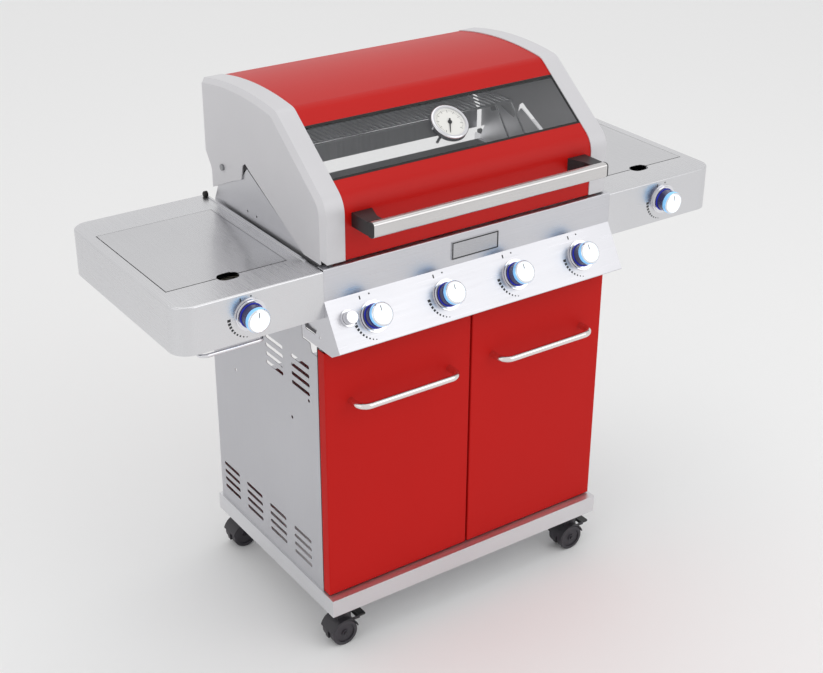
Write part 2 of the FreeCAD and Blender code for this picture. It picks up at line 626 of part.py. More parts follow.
def firebox_side_plates():
    """Outer side plates of the box with the lid hinge holes and two screw holes."""
    plates = []
    outline = gusset_outline()
    radii = [0, 0, 0, 10.0, 12.0, 12.0, 0, 4.0, 0, 0]
    for side in (-1, 1):
        plate = prism_yz(outline, mirrored(side, GUSSET_X, GUSSET_X + PLATE), radii)
        holes = [(HINGE_Y, HINGE_Z, HINGE_BOLT_R), (65.0, DECK_Z + 19.0, 3.0), (27.0, DECK_Z + 19.0, 3.0)]
        for y, z, radius in holes:
            start = Vector(side * GUSSET_X, y, z)
            plate = plate.cut(rod(start, start + Vector(side * PLATE, 0, 0), radius))
        plates.append(plate)
    return Part.makeCompound(plates)


def burners():
    """Straight tube burners, closed at the back, with a port slot along each side."""
    tubes = []
    start_y = BOX_FRONT_Y - 1.0
    for x in BURNER_XS:
        start = Vector(x, start_y, BURNER_Z)
        tube = rod(start, Vector(x, BURNER_BACK_Y, BURNER_Z), BURNER_R)
        tube = tube.cut(rod(start, Vector(x, BURNER_BACK_Y - SHEET, BURNER_Z), BURNER_R - SHEET))
        slot = box((x - BURNER_R, x + BURNER_R), (BOX_FRONT_Y + 40.0, BURNER_BACK_Y - 20.0),
                   (BURNER_Z + 6.0, BURNER_Z + 7.0))
        foot = box((x - 9.0, x + 9.0), (BURNER_BACK_Y, BOX_BACK_Y - SHEET), (BURNER_Z - 3.0, BURNER_Z + 3.0))
        tubes.append(joined([tube.cut(slot), foot]))
    return Part.makeCompound(tubes)


def flame_tamers():
    """Folded roof sheets over the burners."""
    roofs = []
    run = (BOX_FRONT_Y + SHEET + 2.0, BOX_BACK_Y - SHEET - 2.0)
    half = TAMER_W / 2
    for x in BURNER_XS:
        ridge = TAMER_Z + TAMER_H
        outline = [(x - half, TAMER_Z), (x, ridge), (x + half, TAMER_Z),
                   (x + half - 2.5, TAMER_Z), (x, ridge - 1.8), (x - half + 2.5, TAMER_Z)]
        corners = [Vector(px, run[0], pz) for px, pz in outline]
        roofs.append(Part.Face(rounded_wire(corners, [0] * 6)).extrude(Vector(0, run[1] - run[0], 0)))
    pegs = []
    for x in BURNER_XS:
        for side in (-1, 1):
            pegs.append(box((x + side * 30.0 - 4.0, x + side * 30.0 + 4.0), (run[0] - 2.0, run[0] + 6.0),
                            (TAMER_Z + 9.0, TAMER_Z + 12.0)))
            pegs.append(box((x + side * 30.0 - 4.0, x + side * 30.0 + 4.0), (run[1] - 6.0, run[1] + 2.0),
                            (TAMER_Z + 9.0, TAMER_Z + 12.0)))
    return Part.makeCompound([joined([roof] + pegs[4 * i:4 * i + 4]) for i, roof in enumerate(roofs)])


def igniters():
    """One ceramic spark electrode beside each burner, on a bracket from the front wall."""
    sparks = []
    for x in BURNER_XS:
        start = Vector(x + BURNER_R + 8.0, BOX_FRONT_Y + SHEET, BURNER_Z + 14.0)
        sparks.append(joined([rod(start, start + Vector(0, 46.0, 0), 4.0),
                              rod(start + Vector(0, 46.0, 0), start + Vector(0, 62.0, 0), 1.2)]))
    return Part.makeCompound(sparks)


def cooking_grates():
    """Two bar grates lying side by side on the box ledges."""
    grates = []
    run = (BOX_FRONT_Y + SHEET + 1.5, BOX_BACK_Y - SHEET - 1.5)
    width = BOX_WALL_X - SHEET - 4.0
    for side in (-1, 1):
        x = mirrored(side, 2.0, width)
        pitch = (x[1] - x[0] - GRATE_BAR) / (GRATE_BARS - 1)
        bars = []
        for i in range(GRATE_BARS):
            left = x[0] + i * pitch
            bars.append(box((left, left + GRATE_BAR), run, (GRATE_Z, GRATE_Z + GRATE_BAR)))
        for y in (run[0], (run[0] + run[1]) / 2 - 4.0, run[1] - 8.0):
            bars.append(box(x, (y, y + 8.0), (GRATE_Z, GRATE_Z + GRATE_BAR - 1.5)))
        grates.append(joined(bars))
    return Part.makeCompound(grates)


def warming_rack():
    """Wire shelf over the rear of the grates, on two legs each side."""
    r = 2.0
    frame_r = 2.8
    z = RACK_Z
    xs = [-RACK_HALF_X, RACK_HALF_X]
    rods = [rod(Vector(xs[0], y, z), Vector(xs[1], y, z), frame_r) for y in (RACK_FRONT_Y, RACK_BACK_Y)]
    rods += [rod(Vector(x, RACK_FRONT_Y, z), Vector(x, RACK_BACK_Y, z), frame_r) for x in xs]
    pitch = 2 * RACK_HALF_X / RACK_WIRES
    for i in range(1, RACK_WIRES):
        x = xs[0] + i * pitch
        rods.append(rod(Vector(x, RACK_FRONT_Y, z + r), Vector(x, RACK_BACK_Y, z + r), r))
    foot_z = BOX_TOP_Z
    foot_ys = (RACK_FRONT_Y - 60.0, RACK_FRONT_Y + 26.0)
    knee_ys = (RACK_FRONT_Y + 8.0, RACK_FRONT_Y + 80.0)
    for x, side in zip(xs, (-1, 1)):
        for foot_y, knee_y in zip(foot_ys, knee_ys):
            foot = Vector(side * (BOX_WALL_X + 2.5), foot_y, foot_z)
            rods.append(rod(foot, Vector(x, knee_y, z), frame_r - 0.4))
    rack = joined(rods)
    return rack.cut(box((-BODY_X, BODY_X), (foot_ys[0] - 20.0, RACK_BACK_Y), (foot_z - 10.0, foot_z)))


def grease_tray():
    """Full-width drip tray that slides out of the back on the box rails."""
    x, y = (-TRAY_HALF_X, TRAY_HALF_X), (TRAY_FRONT_Y, TRAY_BACK_Y)
    pan = box(x, y, (TRAY_Z, TRAY_Z + TRAY_H))
    pan = pan.cut(box((x[0] + SHEET, x[1] - SHEET), (y[0] + SHEET, y[1] - SHEET), (TRAY_Z + SHEET, TRAY_Z + TRAY_H)))
    pull = box((-60.0, 60.0), (y[1], y[1] + 20.0), (TRAY_Z + TRAY_H - SHEET, TRAY_Z + TRAY_H))
    return joined([pan, pull])


# ---------------------------------------------------------------- gas line
def gas_manifold():
    """Main pipe with an inlet at one end and a feed pipe to each side burner valve."""
    half = 1.5 * BURNER_PITCH + 32.0
    main = rod(Vector(-half, MANIFOLD_Y, MANIFOLD_Z), Vector(half, MANIFOLD_Y, MANIFOLD_Z), MANIFOLD_R)
    riser_x = half + 30.0
    parts = [main]
    for side in (-1, 1):
        points = [Vector(side * half, MANIFOLD_Y, MANIFOLD_Z), Vector(side * riser_x, MANIFOLD_Y, MANIFOLD_Z),
                  Vector(side * riser_x, MANIFOLD_Y, SIDE_FEED_Z),
                  Vector(side * (SIDE_KNOB_X - VALVE_SIDE / 2), MANIFOLD_Y, SIDE_FEED_Z)]
        parts.append(bent_rod(points, 14.0, FEED_R))
    inlet = rod(Vector(half - 12.0, MANIFOLD_Y, MANIFOLD_Z), Vector(half - 12.0, MANIFOLD_Y, MANIFOLD_Z - 34.0), 6.0)
    flare = rod(Vector(half - 12.0, MANIFOLD_Y, MANIFOLD_Z - 24.0), Vector(half - 12.0, MANIFOLD_Y, MANIFOLD_Z - 34.0),
                9.0)
    return joined(parts + [inlet, flare])


def gas_valves():
    """Six taps: body on the pipe, stem through the panel, jet into the burner."""
    taps = []
    for x in BURNER_XS:
        back = slope_point(x, KNOB_SLOPE, -46.0)
        body = Part.makeCylinder(VALVE_SIDE / 2, 34.0, back, SLOPE_OUT)
        stem = rod(back + SLOPE_OUT * 34.0, slope_point(x, KNOB_SLOPE, KNOB_REACH - 8.0), STEM_R)
        jet = rod(Vector(x, back.y - 14.0, BURNER_Z), Vector(x, BOX_FRONT_Y + 4.0, BURNER_Z), JET_R)
        tap = joined([body, stem, jet])
        pipe = rod(Vector(x - 40.0, MANIFOLD_Y, MANIFOLD_Z), Vector(x + 40.0, MANIFOLD_Y, MANIFOLD_Z), MANIFOLD_R)
        taps.append(tap.cut(pipe))
    z = SIDE_FEED_Z
    for side in (-1, 1):
        x = side * SIDE_KNOB_X
        body = box((x - VALVE_SIDE / 2, x + VALVE_SIDE / 2), (FRONT_Y + 6.0, FRONT_Y + 38.0),
                   (z - VALVE_SIDE / 2, z + VALVE_SIDE / 2))
        stem = rod(Vector(x, FRONT_Y + 6.0, z), Vector(x, FRONT_Y - KNOB_REACH + 8.0, z), STEM_R)
        jet = rod(Vector(x, FRONT_Y + 30.0, z), Vector(x, WELL_FRONT_Y + 60.0, z), JET_R)
        taps.append(joined([body, stem, jet]))
    return Part.makeCompound(taps)


# ---------------------------------------------------------------- control panel
def control_panel():
    """Folded panel: top return, upright fascia, sloped face, lower return and two side cheeks."""
    half = BODY_X - FIT / 2
    top = DECK_Z + PANEL_TOP_GAP
    outer = [(BOX_FRONT_Y, top), (FRONT_Y, top), (FRONT_Y, PANEL_FOLD_Z), (LOW_EDGE.y, LOW_EDGE.z),
             (RETURN_EDGE.y, RETURN_EDGE.z)]
    lift = SHEET / SLOPE_OUT.y
    inner = [(RETURN_EDGE.y + 0.6, RETURN_EDGE.z + 1.1), (LOW_EDGE.y - 1.4 * lift + 0.2, LOW_EDGE.z + 0.8),
             (FRONT_Y + SHEET, PANEL_FOLD_Z + 0.35), (FRONT_Y + SHEET, top - SHEET), (BOX_FRONT_Y, top - SHEET)]
    panel = prism_yz(outer + inner, (-half, half), [0, 2.0, 0, 1.5, 0, 0, 0, 0, 0, 0])
    cheeks = []
    back = FRONT_Y + CHEEK_DEPTH
    shelf_low = DECK_Z - SHELF_H - FIT
    for side in (-1, 1):
        outline = [(FRONT_Y, PANEL_FOLD_Z), (LOW_EDGE.y + 1.0, LOW_EDGE.z), (RETURN_EDGE.y, RETURN_EDGE.z),
                   (back, RETURN_EDGE.z), (back, shelf_low), (FRONT_Y + 12.0, shelf_low),
                   (FRONT_Y + 12.0, PANEL_FOLD_Z)]
        cheek = prism_yz(outline, mirrored(side, half - SHEET, half))
        notch = prism_yz([(back - 4.0, 781.0), (FRONT_Y + 30.0, 781.0), (FRONT_Y + 36.0, 766.0),
                          (back - 14.0, 764.0)], mirrored(side, half - 2 * SHEET, half + SHEET), [3.0] * 4)
        screw = Vector(side * (half - 2 * SHEET), FRONT_Y + 19.0, 766.0)
        cheek = cheek.cut(notch).cut(rod(screw, screw + Vector(side * 3 * SHEET, 0, 0), 2.5))
        cheeks.append(cheek)
    panel = joined([panel] + cheeks)
    for x in BURNER_XS:
        start = slope_point(x, KNOB_SLOPE, -4.0)
        panel = panel.cut(rod(start, start + SLOPE_OUT * 8.0, STEM_R + 2.0))
    start = slope_point(BUTTON_X, BUTTON_SLOPE, -4.0)
    panel = panel.cut(rod(start, start + SLOPE_OUT * 8.0, BUTTON_R - 4.0 + FIT))
    pipe = rod(Vector(-SHELF_X, MANIFOLD_Y, SIDE_FEED_Z), Vector(SHELF_X, MANIFOLD_Y, SIDE_FEED_Z), FEED_R + 1.0)
    return panel.cut(pipe)


def badge_plate():
    """Blank name plate in the middle of the fascia."""
    z = (DECK_Z - 53.0, DECK_Z - 12.0)
    plate = box((-61.0, 61.0), (FRONT_Y - 1.6, FRONT_Y), z)
    return plate.makeFillet(4.0, [e for e in plate.Edges if abs(e.Length - 1.6) < 0.01])


def knob_places():
    """Base point and outward axis of all six knobs: four on the slope, then left and right shelf."""
    places = [(slope_point(x, KNOB_SLOPE, 0.0), SLOPE_OUT) for x in BURNER_XS]
    z = SIDE_FEED_Z
    places += [(Vector(side * SIDE_KNOB_X, FRONT_Y, z), Vector(0, -1, 0)) for side in (-1, 1)]
    return places


def knob_bezels():
    """Stepped metal ring round each knob and a small one round the button."""
    rings = []
    for base, out in knob_places():
        low = ring(base, out, BEZEL_R, RING_R + FIT, BEZEL_H / 2)
        high = ring(base, out, BEZEL_R - 3.5, RING_R + FIT, BEZEL_H)
        rings.append(joined([low, high]))
    rings.append(ring(slope_point(BUTTON_X, BUTTON_SLOPE, 0.0), SLOPE_OUT, BUTTON_R + 4.0, BUTTON_R + FIT, 4.0))
    return Part.makeCompound(rings)


def led_rings():
    """Clear light ring inside each bezel."""
    return Part.makeCompound([ring(base, out, RING_R, STEM_R + 2.5, RING_H) for base, out in knob_places()])


def knob(base, out, reference):
    """Turning knob: skirt, grip body and pointer groove, bored for the valve stem."""
    body = Part.makeCylinder(KNOB_R, KNOB_REACH - KNOB_BACK, base + out * KNOB_BACK, out)
    face_edges = [e for e in body.Edges if e.Curve.TypeId == "Part::GeomCircle"
                  and (e.CenterOfMass - base).dot(out) > KNOB_REACH - 1.0]
    body = body.makeChamfer(KNOB_CHAMFER, face_edges)
    recess = Part.makeCylinder(KNOB_R - 4.5, 0.8, base + out * (KNOB_REACH - 0.8), out)
    body = body.cut(recess)
    middle = base + out * (KNOB_REACH - 2.2)
    across = out.cross(reference)
    corners = [middle + across * s * 1.1 + reference * r for s, r in ((-1, 6.0), (1, 6.0), (1, 19.0), (-1, 19.0))]
    groove = Part.Face(Part.makePolygon(corners + corners[:1])).extrude(out * 3.0)
    body = body.cut(groove)
    return body.cut(rod(base + out * KNOB_BACK, base + out * (KNOB_REACH - 7.5), STEM_R + RUN))


def light_button():
    """Push button for the knob lights, with a plunger through the panel."""
    cap = Part.makeCylinder(BUTTON_R, BUTTON_REACH - 5.0, slope_point(BUTTON_X, BUTTON_SLOPE, 5.0), SLOPE_OUT)
    face = [e for e in cap.Edges if e.Curve.TypeId == "Part::GeomCircle"
            and (e.CenterOfMass - slope_point(BUTTON_X, BUTTON_SLOPE, 0.0)).dot(SLOPE_OUT) > BUTTON_REACH - 1.0]
    cap = cap.makeFillet(1.5, face)
    plunger = rod(slope_point(BUTTON_X, BUTTON_SLOPE, -12.0), slope_point(BUTTON_X, BUTTON_SLOPE, 5.0), BUTTON_R - 4.0)
    return joined([cap, plunger])


# ---------------------------------------------------------------- side shelves
def notch_cutter(side):
    """Finger notch shared by the cover and the shelf edge in front of it."""
    x, y = side * (WELL_IN_X + WELL_OUT_X) / 2, WELL_FRONT_Y - 2.0
    z = (DECK_Z - COVER_LIP - 2.0, DECK_Z + 2.0)
    lobes = [Part.makeCylinder(16.0, z[1] - z[0], Vector(x + shift, y, z[0])) for shift in (-7.0, 7.0)]
    return joined(lobes + [box((x - 7.0, x + 7.0), (y - 16.0, y + 16.0), z)])


def shelf(side):
    """Pressed shelf: top sheet, apron with rounded outer corners and a sunk burner well."""
    outer_x = SHELF_X
    corner = SHELF_CORNER_R

    def plan(inset, z):
        low, high = BODY_X + inset, outer_x - inset
        points = [(side * low, FRONT_Y + inset), (side * high, FRONT_Y + inset),
                  (side * high, SHELF_BACK_Y - inset), (side * low, SHELF_BACK_Y - inset)]
        return prism_xy(points, z, [0, corner - inset, corner - inset, 0])

    body = plan(0.0, (DECK_Z - SHELF_H, DECK_Z))
    rim = [e for e in body.Edges if abs(e.CenterOfMass.z - DECK_Z) < 0.01
           and abs(abs(e.CenterOfMass.x) - BODY_X) > 0.1]
    body = body.makeFillet(4.0, rim)
    body = body.cut(plan(SHEET, (DECK_Z - SHELF_H, DECK_Z - SHEET - 3.0)))
    inner_top = plan(SHEET + 3.0, (DECK_Z - SHEET - 3.0, DECK_Z - SHEET))
    body = body.cut(inner_top)
    well_x = mirrored(side, WELL_IN_X - COVER_GAP, WELL_OUT_X + COVER_GAP)
    well_y = (WELL_FRONT_Y - COVER_GAP, WELL_BACK_Y + COVER_GAP)
    well_z = (DECK_Z - WELL_DEPTH, DECK_Z)
    wall = box((well_x[0] - SHEET, well_x[1] + SHEET), (well_y[0] - SHEET, well_y[1] + SHEET),
               (well_z[0] - SHEET, DECK_Z - SHEET / 2))
    lip = box(mirrored(side, BODY_X, BODY_X + 5.0), (FRONT_Y + 60.0, SHELF_BACK_Y - 6.0), (DECK_Z - SHEET, DECK_Z + 2.0))
    body = joined([body, wall, lip]).cut(box(well_x, well_y, (well_z[0], DECK_Z + 1.0)))
    body = body.cut(notch_cutter(side))
    z = SIDE_FEED_Z
    x = side * SIDE_KNOB_X
    body = body.cut(rod(Vector(x, FRONT_Y - 1.0, z), Vector(x, FRONT_Y + 3.0, z), STEM_R + 2.0))
    body = body.cut(rod(Vector(x, WELL_FRONT_Y - 8.0, z), Vector(x, WELL_FRONT_Y + 4.0, z), 6.0))
    feed = rod(Vector(side * (BODY_X - 2.0), MANIFOLD_Y, z), Vector(side * (BODY_X + 4.0), MANIFOLD_Y, z), FEED_R + 1.0)
    body = body.cut(feed)
    axis_y, axis_z = cover_axis()
    pin = rod(Vector(well_x[0] - 5.0, axis_y, axis_z), Vector(well_x[1] + 5.0, axis_y, axis_z), COVER_PIN_R + RUN)
    return body.cut(pin)


def cover_axis():
    """Hinge line of the burner covers."""
    return WELL_BACK_Y - COVER_AXIS_INSET, DECK_Z - COVER_AXIS_DROP


def burner_cover(side):
    """Flush cover pan with turned-down edges, finger notch and hinge pins at the back."""
    x = mirrored(side, WELL_IN_X, WELL_OUT_X)
    y, z = (WELL_FRONT_Y, WELL_BACK_Y), (DECK_Z - COVER_LIP, DECK_Z + COVER_PROUD)
    pan = box(x, y, z)
    pan = pan.cut(box((x[0] + SHEET, x[1] - SHEET), (y[0] + SHEET, y[1] - SHEET), (z[0], z[1] - SHEET)))
    pan = pan.cut(notch_cutter(side))
    axis_y, axis_z = cover_axis()
    pins = []
    for start, out in ((x[0], -1), (x[1], 1)):
        inner = Vector(start - out * 6.0, axis_y, axis_z)
        pins.append(rod(inner, Vector(start + out * 3.0 + out * COVER_GAP, axis_y, axis_z), COVER_PIN_R))
    round_back = box(x, (WELL_BACK_Y - SHEET, WELL_BACK_Y), (z[0], z[0] + 1.0))
    return joined([pan.cut(round_back)] + pins)


def well_middle(side):
    return Vector(side * (WELL_IN_X + WELL_OUT_X) / 2, (WELL_FRONT_Y + WELL_BACK_Y) / 2, DECK_Z - WELL_DEPTH)


def sear_burner():
    """Ceramic infrared burner: steel box with a plate of flame ports."""
    centre = well_middle(-1)
    half_w, half_d = SEAR_W / 2, SEAR_D / 2
    x, y = (centre.x - half_w, centre.x + half_w), (centre.y - half_d, centre.y + half_d)
    z = (centre.z, centre.z + 24.0)
    tray = box(x, y, z).cut(box((x[0] + 8.0, x[1] - 8.0), (y[0] + 8.0, y[1] - 8.0), (z[1] - 3.0, z[1])))
    tile_edges = []
    for i in range(1, 4):
        at = y[0] + 8.0 + i * (SEAR_D - 16.0) / 4
        tile_edges.append(box((x[0] + 8.0, x[1] - 8.0), (at - 1.0, at + 1.0), (z[1] - 4.5, z[1] - 3.0)))
    tray = tray.cut(Part.makeCompound(tile_edges))
    jet = rod(Vector(centre.x, WELL_FRONT_Y - 2.0, SIDE_FEED_Z),
              Vector(centre.x, WELL_FRONT_Y + 60.0, SIDE_FEED_Z), JET_R + FIT)
    return tray.cut(jet)


def side_burner():
    """Round gas burner: base, crown with flame ports and a flat cap."""
    centre = well_middle(1)
    up = Vector(0, 0, 1)
    base = Part.makeCylinder(SIDE_BURNER_R - 14.0, 14.0, centre, up)
    crown = Part.makeCylinder(SIDE_BURNER_R - 4.0, 8.0, centre + up * 14.0, up)
    cap = Part.makeCylinder(SIDE_BURNER_R - 8.0, 6.0, centre + up * 22.0, up)
    cap = cap.makeChamfer(2.0, [e for e in cap.Edges if abs(e.CenterOfMass.z - centre.z - 28.0) < 0.01])
    ports = []
    for i in range(24):
        turn = math.radians(i * 15.0)
        spoke = Vector(math.cos(turn), math.sin(turn), 0)
        start = centre + up * 18.0 + spoke * (SIDE_BURNER_R - 10.0)
        ports.append(rod(start, start + spoke * 8.0, 1.6))
    neck = box((centre.x - 10.0, centre.x + 10.0), (WELL_FRONT_Y + 20.0, centre.y - 30.0), (centre.z, centre.z + 18.0))
    body = joined([base, crown, cap, neck]).cut(Part.makeCompound(ports))
    jet = rod(Vector(centre.x, WELL_FRONT_Y - 2.0, SIDE_FEED_Z),
              Vector(centre.x, WELL_FRONT_Y + 60.0, SIDE_FEED_Z), JET_R + FIT)
    return body.cut(jet)


def side_trivets():
    """Wire pan support in each burner well, standing on the well floor."""
    frames = []
    for side in (-1, 1):
        centre = well_middle(side)
        reach_x, reach_y, top = 108.0, 122.0, centre.z + 34.0
        rods = []
        for k in range(5):
            x = centre.x + (k - 2) * reach_x / 2
            rods.append(rod(Vector(x, centre.y - reach_y, top), Vector(x, centre.y + reach_y, top), TRIVET_ROD_R))
        for sy in (-1, 1):
            bar_y = centre.y + sy * (reach_y - TRIVET_INSET)
            rods.append(rod(Vector(centre.x - reach_x, bar_y, top), Vector(centre.x + reach_x, bar_y, top),
                            TRIVET_ROD_R - 0.3))
            for sx in (-1, 1):
                leg = Vector(centre.x + sx * (reach_x - TRIVET_INSET), bar_y, centre.z)
                rods.append(rod(leg, Vector(leg.x, leg.y, top), TRIVET_ROD_R - 0.6))
        frames.append(joined(rods))
    return Part.makeCompound(frames)


def towel_bar():
    """Bent rod under the front of the left shelf."""
    z = DECK_Z - SHELF_H - 12.0
    top = DECK_Z - SHELF_H + 4.0
    left, right, front, back = -634.0, -498.0, FRONT_Y + 8.0, FRONT_Y + 44.0
    r = 4.0
    bar = bent_rod([Vector(left, back, z), Vector(left, front, z), Vector(right, front, z), Vector(right, back, z)],
                   14.0, r)
    posts = [rod(Vector(x, back, z), Vector(x, back, top), r) for x in (left, right)]
    knees = [Part.makeSphere(r, Vector(x, back, z)) for x in (left, right)]
    strip = box((left - 8.0, right + 8.0), (back - 12.0, back + 12.0), (top, top + 1.5))
    hanger = box((left - 8.0, right + 8.0), (FRONT_Y + SHEET, back + 12.0), (top, top + 1.5))
    return joined([bar, strip, hanger] + posts + knees)


# ---------------------------------------------------------------- lid
def lid_outline(x):
    """Closed lid profile: front, knee, slope, brow, crown, back and inward kink."""
    z = DECK_Z
    points = [(LID_FRONT_Y, z + LID_FOOT), (LID_FRONT_Y, z + LID_KNEE), (LID_BROW_Y, z + LID_BROW),
              (LID_CROWN_Y, z + LID_CROWN), (LID_BACK_Y, z + LID_BACK_TOP), (LID_BACK_Y, z + LID_KINK),
              (LID_TAIL_Y, z + LID_TAIL), (LID_TAIL_Y, z + LID_TAIL_FOOT)]
    radii = [0, LID_KNEE_R, LID_BROW_R, LID_CROWN_R, 5.0, 14.0, 14.0, 0]
    return rounded_wire([Vector(x, y, height) for y, height in points], radii)


def lid_block(x, inset):
    """Lid profile, inset evenly, between two X planes, reaching below the lid's foot."""
    wire = lid_outline(x[0])
    if inset:
        wire = wire.makeOffset2D(-inset)
    block = Part.Face(wire).extrude(Vector(x[1] - x[0], 0, 0))
    if not inset:
        return block
    low = wire.BoundBox.ZMin
    foot = box(x, (LID_FRONT_Y + inset, LID_TAIL_Y - inset), (low - 30.0, low + LID_TAIL_FOOT + 6.0))
    return joined([block, foot])


def slope_frame():
    """Brow corner, direction down the window slope and its outward normal."""
    brow = Vector(0, LID_BROW_Y, DECK_Z + LID_BROW)
    knee = Vector(0, LID_FRONT_Y, DECK_Z + LID_KNEE)
    down = (knee - brow).normalize()
    out = Vector(0, down.z, -down.y)
    return brow, down, out


def hood_ring(half):
    """Sheet following the lid profile just under the end-cap rims."""
    return lid_block((-half, half), RIM_WALL).cut(lid_block((-half, half), RIM_WALL + SHEET))


def window_gap(extra=0.0):
    """Cutter across the slope where the window sits."""
    brow, down, out = slope_frame()
    origin = brow + down * (WINDOW_START - extra) + out * 10.0
    return plate_at(origin, down, out, WINDOW_LENGTH + 2 * extra, (-BODY_X, BODY_X), 40.0)


def lid_hood():
    """Upper sheet: from above the window over the crown and down the back."""
    half = CAP_X - CAP_W + HOOD_TUCK
    brow, down, out = slope_frame()
    sheet = hood_ring(half).cut(window_gap())
    split = brow + down * (WINDOW_START + WINDOW_LENGTH / 2)
    front = box((-BODY_X, BODY_X), (LID_FRONT_Y - 20.0, split.y), (0, split.z))
    below = box((-BODY_X, BODY_X), (LID_FRONT_Y - 20.0, LID_TAIL_Y - 20.0), (0, split.z))
    foot = box((-BODY_X, BODY_X), (LID_FRONT_Y - 20.0, LID_BACK_Y + 20.0), (0, DECK_Z + HOOD_FOOT))
    sheet = sheet.cut(front).cut(below).cut(foot)
    back = box((-BODY_X, BODY_X), (LID_TAIL_Y - 20.0, LID_BACK_Y + 20.0),
               (DECK_Z + HOOD_FOOT, HINGE_Z + RIM_STOP))
    return joined([sheet, hood_ring(CAP_X - CAP_BEVEL - RIM_WALL).common(back)])


def lid_front():
    """Lower front sheet: below the window down to the lid's foot, with a turned-in foot flange."""
    half = CAP_X - CAP_W + HOOD_TUCK
    brow, down, out = slope_frame()
    split = brow + down * (WINDOW_START + WINDOW_LENGTH / 2)
    sheet = hood_ring(half).cut(window_gap())
    keep = box((-half, half), (LID_FRONT_Y - 5.0, split.y), (DECK_Z + LID_FOOT, split.z))
    sheet = sheet.common(keep)
    y = LID_FRONT_Y + RIM_WALL
    flange = box((-half, half), (y, y + 14.0), (DECK_Z + LID_FOOT, DECK_Z + LID_FOOT + SHEET))
    return joined([sheet, flange])


def window_seal():
    """Rubber frame round the glass."""
    half = CAP_X - CAP_W + SEAL_W
    brow, down, out = slope_frame()
    origin = brow + down * (WINDOW_START + FIT) - out * RIM_WALL
    length = WINDOW_LENGTH - 2 * FIT
    frame = plate_at(origin, down, out, length, (-half, half), GLASS_T + 1.0)
    hole = plate_at(origin + down * SEAL_W + out, down, out, length - 2 * SEAL_W, (-half + SEAL_W, half - SEAL_W), 20.0)
    return frame.cut(hole)


def window_glass():
    """Flat tempered pane with a hole for the thermometer."""
    half = CAP_X - CAP_W
    brow, down, out = slope_frame()
    origin = brow + down * (WINDOW_START + FIT + SEAL_W) - out * (RIM_WALL + 0.5)
    pane = plate_at(origin, down, out, WINDOW_LENGTH - 2 * FIT - 2 * SEAL_W, (-half, half), GLASS_T)
    centre, out = gauge_frame()
    return pane.cut(rod(centre - out * 20.0, centre + out * 20.0, 7.0))


def gauge_frame():
    """Middle of the thermometer on the glass and its axis."""
    brow, down, out = slope_frame()
    return brow + down * (WINDOW_START + WINDOW_LENGTH / 2) - out * (RIM_WALL + 0.5), out


def thermometer_case():
    """Bezel and dial cup with the probe through the glass."""
    centre, out = gauge_frame()
    cup = Part.makeCylinder(GAUGE_R, GAUGE_H, centre, out)
    rim = [e for e in cup.Edges if e.Curve.TypeId == "Part::GeomCircle" and (e.CenterOfMass - centre).dot(out) > 1.0]
    cup = cup.makeFillet(4.0, rim)
    cup = cup.cut(Part.makeCylinder(GAUGE_R - 7.0, GAUGE_DIAL_DEPTH, centre + out * (GAUGE_H - GAUGE_DIAL_DEPTH), out))
    neck = rod(centre - out * (GLASS_T + 6.0), centre, 6.5)
    washer = rod(centre - out * (GLASS_T + 6.0), centre - out * (GLASS_T + FIT), 13.0)
    probe = rod(centre - out * 62.0, centre - out * (GLASS_T + 6.0), 3.0)
    case = joined([cup, neck, washer, probe])
    return case.cut(rod(centre + out * 3.0, centre + out * GAUGE_H, 1.5 + RUN))


def thermometer_needle():
    """Pointer with its own arbor, resting at the cold end of the dial."""
    centre, out = gauge_frame()
    face = centre + out * (GAUGE_H - GAUGE_DIAL_DEPTH)
    arbor = rod(centre + out * 4.0, face + out * 2.4, 1.5)
    hub = rod(face + out * 0.8, face + out * 2.4, 4.5)
    down = slope_frame()[1]
    side = Vector(1, 0, 0)
    aim = (down * 0.9 - side * 0.44).normalize()
    across = out.cross(aim)
    base = face + out * 1.0
    corners = [base - across * 1.6 - aim * 9.0, base + across * 1.6 - aim * 9.0, base + across * 0.5 + aim * 27.0,
               base - across * 0.5 + aim * 27.0]
    blade = Part.Face(Part.makePolygon(corners + corners[:1])).extrude(out * 1.0)
    return joined([arbor, hub, blade])


